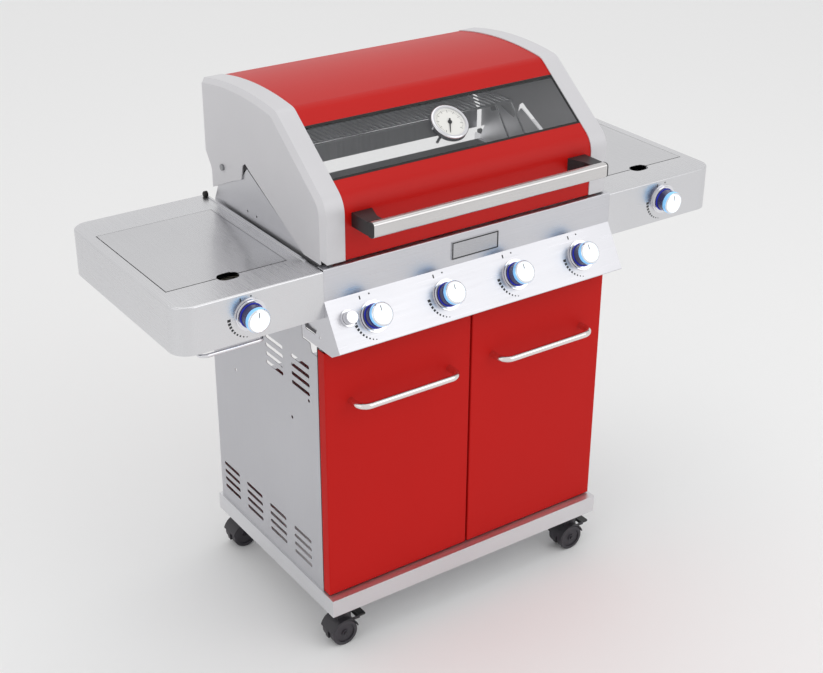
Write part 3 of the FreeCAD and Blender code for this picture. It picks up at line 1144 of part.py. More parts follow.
def lid_cap(side):
    """Die-cast end cap: bevelled rim over the hood edge and a side wall cut away over the fixed plate."""
    inner_x, outer_x = CAP_X - CAP_W, CAP_X

    def shell_block(inset, far):
        low, high = inner_x, far - CAP_BEVEL
        block = lid_block(mirrored(side, low, high), inset)
        near_wire = lid_outline(side * high)
        far_wire = lid_outline(side * high).makeOffset2D(-CAP_BEVEL - inset)
        if inset:
            near_wire = near_wire.makeOffset2D(-inset)
        far_wire.translate(Vector(side * CAP_BEVEL, 0, 0))
        bevel = Part.makeLoft([near_wire, far_wire], True, True)
        return block, bevel

    block, bevel = shell_block(0.0, outer_x)
    wall_low = DECK_Z + LID_FOOT
    foot = box(mirrored(side, outer_x - CAP_WALL, outer_x), (LID_FRONT_Y + CAP_BEVEL, LID_TAIL_Y - CAP_BEVEL),
               (wall_low, wall_low + 30.0))
    solid = joined([block, bevel])
    hollow, hollow_bevel = shell_block(RIM_WALL, outer_x - CAP_WALL)
    cap = joined([solid.cut(joined([hollow, hollow_bevel])), foot])
    z = DECK_Z
    cutout = [(NOTCH_FOOT_Y, z), (NOTCH_FOOT_Y, z + 5.0), (NOTCH_PEAK_Y - 16.0, z + NOTCH_PEAK - 6.0),
              (NOTCH_PEAK_Y, z + NOTCH_PEAK + 4.0), (NOTCH_PEAK_Y + 12.0, z + NOTCH_PEAK - 4.0),
              (NOTCH_PEAK_Y + 20.0, z + 85.0), (NOTCH_PEAK_Y + 60.0, z + 69.0), (LID_TAIL_Y + 5.0, z + 20.0),
              (LID_TAIL_Y + 5.0, z)]
    radii = [0, 2.0, 4.0, 4.0, 4.0, 5.0, 10.0, 0, 0]
    cap = cap.cut(prism_yz(cutout, mirrored(side, inner_x - 5.0, outer_x + 5.0), radii)
                  .common(box(mirrored(side, outer_x - 22.0, outer_x + 5.0), (-400.0, 400.0), (0, 2000.0))))
    tail = box(mirrored(side, inner_x - 5.0, outer_x - CAP_WALL), (LID_TAIL_Y - 20.0, LID_BACK_Y + 20.0),
               (0, HINGE_Z + RIM_STOP))
    tail = tail.fuse(box(mirrored(side, inner_x - 5.0, outer_x - CAP_WALL), (HINGE_Y - 40.0, LID_BACK_Y + 20.0),
                         (0, DECK_Z + LID_TAIL)))
    below = box(mirrored(side, inner_x - 5.0, outer_x + 5.0), (LID_FRONT_Y - 20.0, LID_BACK_Y + 20.0), (0, wall_low))
    cap = cap.cut(tail).cut(below)
    hole = rod(Vector(side * (outer_x - 10.0), HINGE_Y, HINGE_Z), Vector(side * (outer_x + 1.0), HINGE_Y, HINGE_Z),
               HINGE_BOLT_R + RUN)
    return cap.cut(hole)


def handle_profile(x):
    """Rounded-rectangle section of the lid handle between two X planes."""
    y, z = (HANDLE_FRONT_Y, HANDLE_FRONT_Y + HANDLE_DEEP), (DECK_Z + HANDLE_LOW, DECK_Z + HANDLE_LOW + HANDLE_TALL)
    points = [(y[0], z[0]), (y[1], z[0]), (y[1], z[1]), (y[0], z[1])]
    return prism_yz(points, x, [HANDLE_CORNER_R] * 4)


def handle_bar():
    """Tube along the lid front."""
    return handle_profile((-HANDLE_HALF, HANDLE_HALF))


def handle_brackets():
    """Black stand-offs between the lid front and the bar, with a plate over each bar end."""
    blocks = []
    y = (HANDLE_FRONT_Y + HANDLE_DEEP, LID_FRONT_Y + RIM_WALL)
    z = (DECK_Z + HANDLE_LOW + 1.0, DECK_Z + HANDLE_LOW + HANDLE_TALL - 2.0)
    near = (BRACKET_X, HANDLE_HALF + END_PLATE)
    flare = 14.0
    for side in (-1, 1):
        points = [(side * (near[0] - flare), y[1]), (side * near[0], y[0] + 18.0), (side * near[0], y[0]),
                  (side * near[1], y[0]), (side * near[1], y[1])]
        block = prism_xy(points, z, [0, 8.0, 0, 0, 0])
        blocks.append(joined([block, handle_profile(mirrored(side, HANDLE_HALF, near[1]))]))
    return Part.makeCompound(blocks)


# ---------------------------------------------------------------- build
def main():
    os.makedirs("parts", exist_ok=True)
    save("base_frame", base_frame())
    save("cabinet_side_left", cabinet_side(-1))
    save("cabinet_side_right", cabinet_side(1))
    save("cabinet_back", cabinet_back())
    save("door_crossbar", door_crossbar())
    save("hinge_pins", hinge_hardware())
    save("castor_mounts", castor_mounts())
    corners = {"front_left": (-1, -1), "front_right": (1, -1), "rear_left": (-1, 1), "rear_right": (1, 1)}
    for name, (sx, sy) in corners.items():
        x, y = sx * CASTOR_X, sy * CASTOR_Y
        save(f"castor_fork_{name}", castor_fork(x, y, sy < 0))
        save(f"castor_wheels_{name}", castor_wheels(x, y))
        if sy < 0:
            save(f"brake_pedal_{name}", brake_pedal(x, y))
    for side, name in ((-1, "left"), (1, "right")):
        save(f"door_{name}", door(side))
        save(f"door_handle_{name}", door_handle(side))
        save(f"shelf_{name}", shelf(side))
        save(f"burner_cover_{name}", burner_cover(side))
        save(f"lid_cap_{name}", lid_cap(side))
    save("firebox", firebox())
    save("firebox_side_plates", firebox_side_plates())
    save("burners", burners())
    save("flame_tamers", flame_tamers())
    save("igniters", igniters())
    save("cooking_grates", cooking_grates())
    save("warming_rack", warming_rack())
    save("grease_tray", grease_tray())
    save("gas_manifold", gas_manifold())
    save("gas_valves", gas_valves())
    save("control_panel", control_panel())
    save("badge_plate", badge_plate())
    save("knob_bezels", knob_bezels())
    save("led_rings", led_rings())
    names = [f"burner_knob_{i + 1}" for i in range(BURNERS)] + ["side_knob_left", "side_knob_right"]
    for name, (base, out) in zip(names, knob_places()):
        up = SLOPE_DIR * -1 if out == SLOPE_OUT else Vector(0, 0, 1)
        save(name, knob(base, out, up))
    save("light_button", light_button())
    save("sear_burner", sear_burner())
    save("side_burner", side_burner())
    save("side_trivets", side_trivets())
    save("towel_bar", towel_bar())
    save("lid_hood", lid_hood())
    save("lid_front", lid_front())
    save("window_glass", window_glass())
    save("window_seal", window_seal())
    save("thermometer_case", thermometer_case())
    save("thermometer_needle", thermometer_needle())
    save("handle_bar", handle_bar())
    save("handle_brackets", handle_brackets())


main()
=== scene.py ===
"""Gas barbecue grill: finishes, lit knobs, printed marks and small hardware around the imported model."""

import json
import logging
import math
from dataclasses import dataclass, field
from enum import Enum
from typing import Iterable

import bmesh
import bpy
from mathutils import Matrix, Vector

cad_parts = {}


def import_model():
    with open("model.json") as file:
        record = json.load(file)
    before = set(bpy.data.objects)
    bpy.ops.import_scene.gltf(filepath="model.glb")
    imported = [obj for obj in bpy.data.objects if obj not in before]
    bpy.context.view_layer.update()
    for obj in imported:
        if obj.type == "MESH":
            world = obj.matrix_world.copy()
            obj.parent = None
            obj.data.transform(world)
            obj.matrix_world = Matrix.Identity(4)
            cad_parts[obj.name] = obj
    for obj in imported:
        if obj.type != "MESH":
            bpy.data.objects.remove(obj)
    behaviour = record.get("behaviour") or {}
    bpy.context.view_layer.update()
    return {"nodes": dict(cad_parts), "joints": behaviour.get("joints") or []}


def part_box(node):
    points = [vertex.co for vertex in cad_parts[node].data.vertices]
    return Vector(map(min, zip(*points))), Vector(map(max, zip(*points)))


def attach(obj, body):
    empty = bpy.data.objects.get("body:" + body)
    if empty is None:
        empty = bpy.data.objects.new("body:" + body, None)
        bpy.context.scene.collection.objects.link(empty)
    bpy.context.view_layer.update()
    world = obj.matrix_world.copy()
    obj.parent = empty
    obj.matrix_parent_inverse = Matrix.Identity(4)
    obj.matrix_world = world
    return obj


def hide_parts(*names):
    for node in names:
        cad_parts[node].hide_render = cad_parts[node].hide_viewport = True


LOG = logging.getLogger("grill")
MM = 0.001
NOISE_LOW = 0.3             # a noise texture rarely goes below this
NOISE_HIGH = 0.7            # nor above this
SHARP_ANGLE = math.radians(35)
MERGE_DISTANCE = 1e-6       # metres


class Grain(Enum):
    """Direction in which a sheet was brushed or rolled."""

    WIDTH = 0
    DEPTH = 1
    HEIGHT = 2


def linear(code: str) -> tuple[float, float, float, float]:
    """Turns an sRGB hex code into linear light.

    Args:
        code: six hex digits, with or without a leading hash.

    Returns:
        Red, green, blue and a full alpha.
    """
    code = code.lstrip("#")
    parts = [int(code[i:i + 2], 16) / 255 for i in (0, 2, 4)]
    light = [c / 12.92 if c <= 0.04045 else ((c + 0.055) / 1.055) ** 2.4 for c in parts]
    return light[0], light[1], light[2], 1.0


def add_node(tree: bpy.types.NodeTree, kind: str, settings: dict | None = None,
             links: dict | None = None) -> bpy.types.Node:
    """Adds a shader node, sets it up and wires its inputs.

    Args:
        tree: the node tree to add to.
        kind: the node's type name.
        settings: attribute names, or input names and numbers, with their values.
        links: input names or numbers with the output sockets that feed them.

    Returns:
        The new node.
    """
    node = tree.nodes.new(kind)
    for key, value in (settings or {}).items():
        if isinstance(key, str) and hasattr(node, key):
            setattr(node, key, value)
        else:
            node.inputs[key].default_value = value
    for key, socket in (links or {}).items():
        tree.links.new(socket, node.inputs[key])
    return node


def new_tree(name: str) -> tuple[bpy.types.Material, bpy.types.NodeTree, bpy.types.Node]:
    """Makes an empty material.

    Args:
        name: the material's name.

    Returns:
        The material, its tree and its output node.
    """
    material = bpy.data.materials.new(name)
    material.use_nodes = True
    tree = material.node_tree
    tree.nodes.clear()
    return material, tree, add_node(tree, "ShaderNodeOutputMaterial")


@dataclass(frozen=True)
class Finish:
    """What every finish has: a name, a colour and how it catches the light."""

    name: str
    colour: str
    roughness: float = 0.4
    metallic: float = 0.0

    def material(self) -> bpy.types.Material:
        """Makes the material once and then hands out the same one.

        Returns:
            The finish's material.
        """
        found = bpy.data.materials.get(self.name)
        if found:
            return found
        material, tree, output = new_tree(self.name)
        shader = add_node(tree, "ShaderNodeBsdfPrincipled", {
            "Base Color": linear(self.colour), "Roughness": self.roughness, "Metallic": self.metallic})
        self.wire(tree, shader)
        tree.links.new(shader.outputs["BSDF"], output.inputs["Surface"])
        return material

    def wire(self, tree: bpy.types.NodeTree, shader: bpy.types.Node) -> None:
        """Adds the finish's own pattern; a plain finish has none."""


def pattern(tree: bpy.types.NodeTree, per_metre: tuple[float, float, float], detail: float = 3.0,
            rough: float = 0.55) -> bpy.types.NodeSocket:
    """Noise in object space.

    Args:
        tree: the node tree to add to.
        per_metre: cells per metre along each axis.
        detail: octaves of the noise.
        rough: how strong the finer octaves are.

    Returns:
        The noise's value, mostly between NOISE_LOW and NOISE_HIGH.
    """
    place = add_node(tree, "ShaderNodeTexCoord")
    scaled = add_node(tree, "ShaderNodeMapping", {"Scale": per_metre}, {"Vector": place.outputs["Object"]})
    noise = add_node(tree, "ShaderNodeTexNoise", {"Scale": 1.0, "Detail": detail, "Roughness": rough},
                     {"Vector": scaled.outputs["Vector"]})
    return noise.outputs["Fac"]


def spread(tree: bpy.types.NodeTree, source: bpy.types.NodeSocket, low: float,
           high: float) -> bpy.types.NodeSocket:
    """Maps a noise's usual span onto the range low to high."""
    node = add_node(tree, "ShaderNodeMapRange", {1: NOISE_LOW, 2: NOISE_HIGH, 3: low, 4: high},
                    {"Value": source})
    return node.outputs["Result"]


def shade_mix(tree: bpy.types.NodeTree, factor: bpy.types.NodeSocket, first: str,
              second: str) -> bpy.types.NodeSocket:
    """Mixes two hex colours.

    Args:
        tree: the node tree to add to.
        factor: 0 gives the first colour and 1 the second.
        first: sRGB hex code.
        second: sRGB hex code.

    Returns:
        The mixed colour.
    """
    node = add_node(tree, "ShaderNodeMix", {"data_type": "RGBA"}, {0: factor})
    node.inputs[6].default_value = linear(first)
    node.inputs[7].default_value = linear(second)
    return node.outputs[2]


@dataclass(frozen=True)
class BrushedSteel(Finish):
    """Stainless sheet brushed with grit: long fine streaks that widen the highlight across the grain."""

    shade: str = "#B9B9BD"
    metallic: float = 1.0
    grain: Grain = Grain.WIDTH
    streak_mm: float = 1.6
    streak_length_mm: float = 160.0
    bump: float = 0.05
    bump_depth_mm: float = 0.2
    clouds_per_metre: float = 3.0
    streak_share: float = 0.7
    cloud_share: float = 0.3

    def wire(self, tree: bpy.types.NodeTree, shader: bpy.types.Node) -> None:
        """Streaks drive colour, roughness and a shallow bump, and a wide cloud varies big sheets.

        Args:
            tree: the material's node tree.
            shader: its principled shader.
        """
        scale = [1 / (self.streak_mm * MM)] * 3
        scale[self.grain.value] = 1 / (self.streak_length_mm * MM)
        streaks = pattern(tree, tuple(scale), 4.0, 0.6)
        cloud = pattern(tree, (self.clouds_per_metre,) * 3, 2.0, 0.5)
        both = add_node(tree, "ShaderNodeMath", {"operation": "MULTIPLY_ADD", 1: self.streak_share},
                        {0: streaks, 2: spread(tree, cloud, 0.0, self.cloud_share)})
        tree.links.new(shade_mix(tree, both.outputs[0], self.shade, self.colour), shader.inputs["Base Color"])
        tree.links.new(spread(tree, streaks, self.roughness - 0.07, self.roughness + 0.09),
                       shader.inputs["Roughness"])
        bump = add_node(tree, "ShaderNodeBump", {"Strength": self.bump, "Distance": self.bump_depth_mm * MM},
                        {"Height": streaks})
        tree.links.new(bump.outputs["Normal"], shader.inputs["Normal"])


@dataclass(frozen=True)
class Enamel(Finish):
    """Sprayed and baked enamel on sheet: even colour under a clear gloss with a faint orange peel."""

    shade: str = "#A81A12"
    peel_mm: float = 3.0
    coat: float = 0.5
    coat_roughness: float = 0.2
    specular: float = 0.22      # below real enamel's, so that the white room doesn't wash out the red
    peel_bump: float = 0.035
    peel_depth_mm: float = 0.1
    clouds_per_metre: float = 2.2

    def wire(self, tree: bpy.types.NodeTree, shader: bpy.types.Node) -> None:
        """A slow cloud shifts the colour a little, and peel bends the gloss.

        Args:
            tree: the material's node tree.
            shader: its principled shader.
        """
        cloud = pattern(tree, (self.clouds_per_metre,) * 3, 2.0, 0.5)
        tree.links.new(shade_mix(tree, spread(tree, cloud, 0.0, 0.5), self.colour, self.shade),
                       shader.inputs["Base Color"])
        each = 1 / (self.peel_mm * MM)
        peel = pattern(tree, (each, each, each), 2.0, 0.5)
        bump = add_node(tree, "ShaderNodeBump",
                        {"Strength": self.peel_bump, "Distance": self.peel_depth_mm * MM}, {"Height": peel})
        tree.links.new(bump.outputs["Normal"], shader.inputs["Normal"])
        shader.inputs["Coat Weight"].default_value = self.coat
        shader.inputs["Coat Roughness"].default_value = self.coat_roughness
        shader.inputs["Specular IOR Level"].default_value = self.specular


@dataclass(frozen=True)
class LinedEnamel(Enamel):
    """Enamel outside and bare steel lining inside, told apart by which way the sheet faces in the lid."""

    lining: str = "#D6D6DA"
    lining_shade: str = "#B4B4B8"
    lining_metallic: float = 0.5    # half of bare steel's, which keeps the inside light
    core: tuple[float, float, float] = (0.0, 0.03, 1.0)    # metres, a line across inside the lid

    def wire(self, tree: bpy.types.NodeTree, shader: bpy.types.Node) -> None:
        """Faces that look away from the lid's core line are enamel, the others steel.

        Args:
            tree: the material's node tree.
            shader: its principled shader.
        """
        super().wire(tree, shader)
        place = add_node(tree, "ShaderNodeTexCoord")
        away = add_node(tree, "ShaderNodeVectorMath", {"operation": "SUBTRACT", 1: self.core},
                        {0: place.outputs["Object"]})
        flat = add_node(tree, "ShaderNodeVectorMath", {"operation": "MULTIPLY", 1: (0.0, 1.0, 1.0)},
                        {0: away.outputs[0]})
        facing = add_node(tree, "ShaderNodeVectorMath", {"operation": "DOT_PRODUCT"},
                          {0: flat.outputs[0], 1: place.outputs["Normal"]})
        outside = add_node(tree, "ShaderNodeMath", {"operation": "GREATER_THAN", 1: 0.0},
                           {0: facing.outputs["Value"]})
        paint = shader.inputs["Base Color"].links[0].from_socket
        smear = pattern(tree, (120.0, 120.0, 6.0), 3.0, 0.6)
        mix = add_node(tree, "ShaderNodeMix", {"data_type": "RGBA"}, {0: outside.outputs[0], 7: paint})
        tree.links.new(shade_mix(tree, smear, self.lining_shade, self.lining), mix.inputs[6])
        tree.links.new(mix.outputs[2], shader.inputs["Base Color"])
        metal = add_node(tree, "ShaderNodeMath",
                         {"operation": "MULTIPLY_ADD", 1: -self.lining_metallic, 2: self.lining_metallic},
                         {0: outside.outputs[0]})
        tree.links.new(metal.outputs[0], shader.inputs["Metallic"])


@dataclass(frozen=True)
class GrainedPaint(Finish):
    """Powder coat on a casting or moulded plastic: even colour with a fine stipple."""

    grain_mm: float = 0.9
    bump: float = 0.12
    bump_depth_mm: float = 0.15
    shade: str = ""

    def wire(self, tree: bpy.types.NodeTree, shader: bpy.types.Node) -> None:
        """Fine stipple in the bump and a slow drift in the colour.

        Args:
            tree: the material's node tree.
            shader: its principled shader.
        """
        each = 1 / (self.grain_mm * MM)
        stipple = pattern(tree, (each, each, each), 2.0, 0.6)
        bump = add_node(tree, "ShaderNodeBump", {"Strength": self.bump, "Distance": self.bump_depth_mm * MM},
                        {"Height": stipple})
        tree.links.new(bump.outputs["Normal"], shader.inputs["Normal"])
        tree.links.new(spread(tree, stipple, self.roughness - 0.05, self.roughness + 0.07),
                       shader.inputs["Roughness"])
        if self.shade:
            cloud = pattern(tree, (6.0, 6.0, 6.0), 2.0, 0.5)
            tree.links.new(shade_mix(tree, cloud, self.colour, self.shade), shader.inputs["Base Color"])


@dataclass(frozen=True)
class Plating(Finish):
    """Chrome plate or polished steel: clear reflections with faint wipe marks."""

    metallic: float = 1.0
    wipe_mm: float = 14.0

    def wire(self, tree: bpy.types.NodeTree, shader: bpy.types.Node) -> None:
        """Wipe marks vary the roughness only.

        Args:
            tree: the material's node tree.
            shader: its principled shader.
        """
        each = 1 / (self.wipe_mm * MM)
        wipes = pattern(tree, (each, each, each), 3.0, 0.6)
        tree.links.new(spread(tree, wipes, self.roughness, self.roughness + 0.08), shader.inputs["Roughness"])


@dataclass(frozen=True)
class RoughMetal(Finish):
    """Cast iron, plain rod, machined brass or heat-marked sheet: mottled colour and a coarse skin."""

    shade: str = "#555558"
    grain_mm: float = 2.5
    bump: float = 0.25
    bump_depth_mm: float = 0.2

    def wire(self, tree: bpy.types.NodeTree, shader: bpy.types.Node) -> None:
        """Mottling in the colour and bump from one noise.

        Args:
            tree: the material's node tree.
            shader: its principled shader.
        """
        each = 1 / (self.grain_mm * MM)
        skin = pattern(tree, (each, each, each), 4.0, 0.6)
        tree.links.new(shade_mix(tree, skin, self.colour, self.shade), shader.inputs["Base Color"])
        tree.links.new(spread(tree, skin, self.roughness - 0.08, self.roughness + 0.1),
                       shader.inputs["Roughness"])
        bump = add_node(tree, "ShaderNodeBump", {"Strength": self.bump, "Distance": self.bump_depth_mm * MM},
                        {"Height": skin})
        tree.links.new(bump.outputs["Normal"], shader.inputs["Normal"])


@dataclass(frozen=True)
class TemperedGlass(Finish):
    """Clear pane a few millimetres thick: mostly see-through with a grey cast."""

    alpha: float = 0.2
    ior: float = 1.5

    def wire(self, tree: bpy.types.NodeTree, shader: bpy.types.Node) -> None:
        """A thin smear keeps the gloss from being perfect.

        Args:
            tree: the material's node tree.
            shader: its principled shader.
        """
        shader.inputs["Alpha"].default_value = self.alpha
        shader.inputs["IOR"].default_value = self.ior
        smear = pattern(tree, (9.0, 9.0, 9.0), 2.0, 0.5)
        tree.links.new(spread(tree, smear, self.roughness, self.roughness + 0.04), shader.inputs["Roughness"])


@dataclass(frozen=True)
class LitPlastic(Finish):
    """Plastic that gives off light: translucent plastic with a lamp behind it, and on the knob faces a glow
    that is a painted highlight.
    """

    glow: str = "#3A5BFF"
    power: float = 2.0

    def wire(self, tree: bpy.types.NodeTree, shader: bpy.types.Node) -> None:
        """Light comes out evenly with slight unevenness from a noise, like a lamp's beads.

        Args:
            tree: the material's node tree.
            shader: its principled shader.
        """
        shader.inputs["Emission Color"].default_value = linear(self.glow)
        beads = pattern(tree, (70.0, 70.0, 70.0), 1.0, 0.4)
        tree.links.new(spread(tree, beads, self.power * 0.75, self.power * 1.25),
                       shader.inputs["Emission Strength"])


STAINLESS_WIDE = BrushedSteel("stainless_brushed_wide", "#DEDEE2", 0.33, shade="#C4C4C9")
STAINLESS_DEEP = BrushedSteel("stainless_brushed_deep", "#E2E2E4", 0.27, shade="#CDCDD0", grain=Grain.DEPTH,
                              streak_mm=1.1, streak_length_mm=240.0, bump=0.03)
STAINLESS_COVER = BrushedSteel("stainless_brushed_cover", "#DCDCDE", 0.22, shade="#C6C6C9", grain=Grain.DEPTH,
                               streak_mm=1.1, streak_length_mm=240.0, bump=0.03)
STAINLESS_BASE = BrushedSteel("stainless_brushed_base", "#E8E8EA", 0.45, shade="#D8D8DB")
PLAIN_SIDE = BrushedSteel("steel_sheet_side", "#D0D0D4", 0.5, shade="#C2C2C6", grain=Grain.HEIGHT,
                          streak_mm=2.2)
PLAIN_BOX = BrushedSteel("steel_sheet_box", "#C4C4C7", 0.45, shade="#A4A4A7", grain=Grain.HEIGHT,
                         streak_mm=3.0)
GUSSET = BrushedSteel("stainless_plate_gusset", "#DCDCDF", 0.42, shade="#CCCCD0", grain=Grain.DEPTH)
HANDLE_STEEL = BrushedSteel("stainless_handle", "#DDDBDA", 0.22, shade="#C3C1C1")
ZINC = BrushedSteel("zinc_plated", "#A9AAAC", 0.4, shade="#8C8D90", streak_mm=4.0)
BURNER_TUBE = RoughMetal("burner_tube_steel", "#8B8884", 0.4, 1.0, shade="#6B6660")
TAMER_SHEET = RoughMetal("flame_tamer_steel", "#8F8D8A", 0.42, 1.0, shade="#6F6B66", grain_mm=9.0, bump=0.1)
GRATE_BARS = RoughMetal("grate_bars", "#B9B9BA", 0.35, 1.0, shade="#8A8A8B")
TRIVET_ENAMEL = RoughMetal("trivet_enamel", "#1A1A1B", 0.35, 0.0, shade="#2C2C2D")
CROWN_METAL = RoughMetal("burner_crown", "#3A3A3C", 0.5, 0.8, shade="#55555A")
CERAMIC = RoughMetal("sear_ceramic", "#CDBFA8", 0.8, 0.0, shade="#A8987F", grain_mm=1.4, bump=0.5)
WHITE_CERAMIC = RoughMetal("spark_ceramic", "#E6E3DC", 0.3, 0.0, shade="#CFCBC2")
BRASS = RoughMetal("machined_brass", "#C8A14E", 0.3, 1.0, shade="#A9843A", grain_mm=1.5, bump=0.08)
CHROME = Plating("chrome_plate", "#E4E4E8", 0.07)
BRIGHT_STEEL = Plating("polished_handle_steel", "#E8E2E0", 0.12)
WIRE_CHROME = Plating("chrome_wire", "#D9D9DC", 0.16)
RED_DOOR = Enamel("red_enamel_door", "#C20D06", 0.62, coat=0.0, shade="#B80C05")
RED_LID = LinedEnamel("red_enamel_lid", "#C20D06", 0.42, coat=0.06, shade="#B40B05")
CAP_PAINT = GrainedPaint("silver_cast_paint", "#D6D5D8", 0.42, 0.15, shade="#CECDD0")
BLACK_MOULDED = GrainedPaint("black_moulded", "#161617", 0.42, shade="#222224")
CASTOR_HOOD = GrainedPaint("castor_hood_plastic", "#29272B", 0.4, shade="#333036")
CASTOR_DISC = GrainedPaint("castor_disc_plastic", "#3C393F", 0.5, shade="#322F35")
SEAL = GrainedPaint("window_seal_rubber", "#121212", 0.6)
GLASS = TemperedGlass("tempered_glass", "#A6A8AB", 0.03, alpha=0.1)
LED = LitPlastic("lit_ring", "#20206E", 0.2, glow="#3A46E8", power=0.3)
KNOB_SIDE = LitPlastic("knob_navy_side", "#16124A", 0.18, glow="#1C2098", power=0.05)
KNOB_HALO = LitPlastic("knob_lit_halo", "#8FC9F5", 0.15, glow="#6FC0FF", power=0.35)
# The knob face has no lamp behind it: its glow is a painted highlight.
KNOB_FACE_PAINTED_HIGHLIGHT = LitPlastic("knob_face_painted_highlight", "#F4F8FC", 0.25, glow="#EAF6FF", power=0.3)
KNOB_RIM = Plating("knob_plated_rim", "#EDEFF3", 0.1)
PRINT_DARK = GrainedPaint("printed_mark", "#2A2A2C", 0.6, bump=0.0)
DIAL_FACE = GrainedPaint("dial_paint", "#E9E8E4", 0.45, bump=0.02)
BADGE_FACE = BrushedSteel("badge_face", "#C9C9CC", 0.3, shade="#B0B0B4")


def dress(node: bpy.types.Object, finish: Finish) -> None:
    """Gives every material slot of a CAD node the same finish."""
    for slot in node.material_slots:
        slot.material = finish.material()


def frame_at(origin: Vector, outward: Vector, upward: Vector) -> Matrix:
    """Matrix whose Z is outward and whose Y leans upward.

    Args:
        origin: where the local zero goes, in metres.
        outward: local Z.
        upward: rough local Y.

    Returns:
        The placing matrix.
    """
    z = outward.normalized()
    x = upward.cross(z).normalized()
    y = z.cross(x)
    turned = Matrix((x, y, z)).transposed().to_4x4()
    return Matrix.Translation(origin) @ turned


def piece(name: str, mesh: bmesh.types.BMesh, finishes: Iterable[Finish], body: str,
          smooth: bool = False) -> bpy.types.Object:
    """Turns a bmesh into a piece that rides on a body.

    Args:
        name: the piece's name.
        mesh: its finished shape in metres; it is freed.
        finishes: one finish per material index.
        body: the CAD body it rides on.
        smooth: whether faces are shaded smooth.

    Returns:
        The new object.
    """
    data = bpy.data.meshes.new(name)
    for face in mesh.faces:
        face.smooth = smooth
    mesh.to_mesh(data)
    mesh.free()
    if smooth:
        data.set_sharp_from_angle(angle=SHARP_ANGLE)
    for finish in finishes:
        data.materials.append(finish.material())
    made = bpy.data.objects.new(name, data)
    bpy.context.scene.collection.objects.link(made)
    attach(made, body)
    LOG.info("piece %s on %s: %d faces", name, body, len(data.polygons))
    return made


def lathe(profile: list[tuple[float, float]], steps: int = 64) -> bmesh.types.BMesh:
    """Turns a profile of (radius, height) in millimetres round Z.

    Args:
        profile: the outline from its inner end to its outer end.
        steps: how many facets go round.

    Returns:
        The closed shape.
    """
    mesh = bmesh.new()
    verts = [mesh.verts.new((r * MM, 0.0, z * MM)) for r, z in profile]
    edges = [mesh.edges.new(pair) for pair in zip(verts, verts[1:])]
    bmesh.ops.spin(mesh, geom=verts + edges, cent=(0, 0, 0), axis=(0, 0, 1), angle=math.tau, steps=steps,
                   use_merge=True)
    bmesh.ops.remove_doubles(mesh, verts=mesh.verts, dist=MERGE_DISTANCE)
    bmesh.ops.recalc_face_normals(mesh, faces=mesh.faces)
    return mesh


def add_slab(mesh: bmesh.types.BMesh, size: tuple[float, float, float], place: Matrix,
             finish: int = 0) -> None:
    """Adds a box that stands on its place's XY plane.

    Args:
        mesh: the shape to add to.
        size: in millimetres.
        place: where its foot's centre goes.
        finish: the material index of its faces.
    """
    made = bmesh.ops.create_cube(mesh, size=1.0)
    verts = made["verts"]
    bmesh.ops.scale(mesh, vec=Vector(size) * MM, verts=verts)
    bmesh.ops.translate(mesh, vec=(0, 0, size[2] * MM / 2), verts=verts)
    bmesh.ops.transform(mesh, matrix=place, verts=verts)
    for face in {f for v in verts for f in v.link_faces}:
        face.material_index = finish


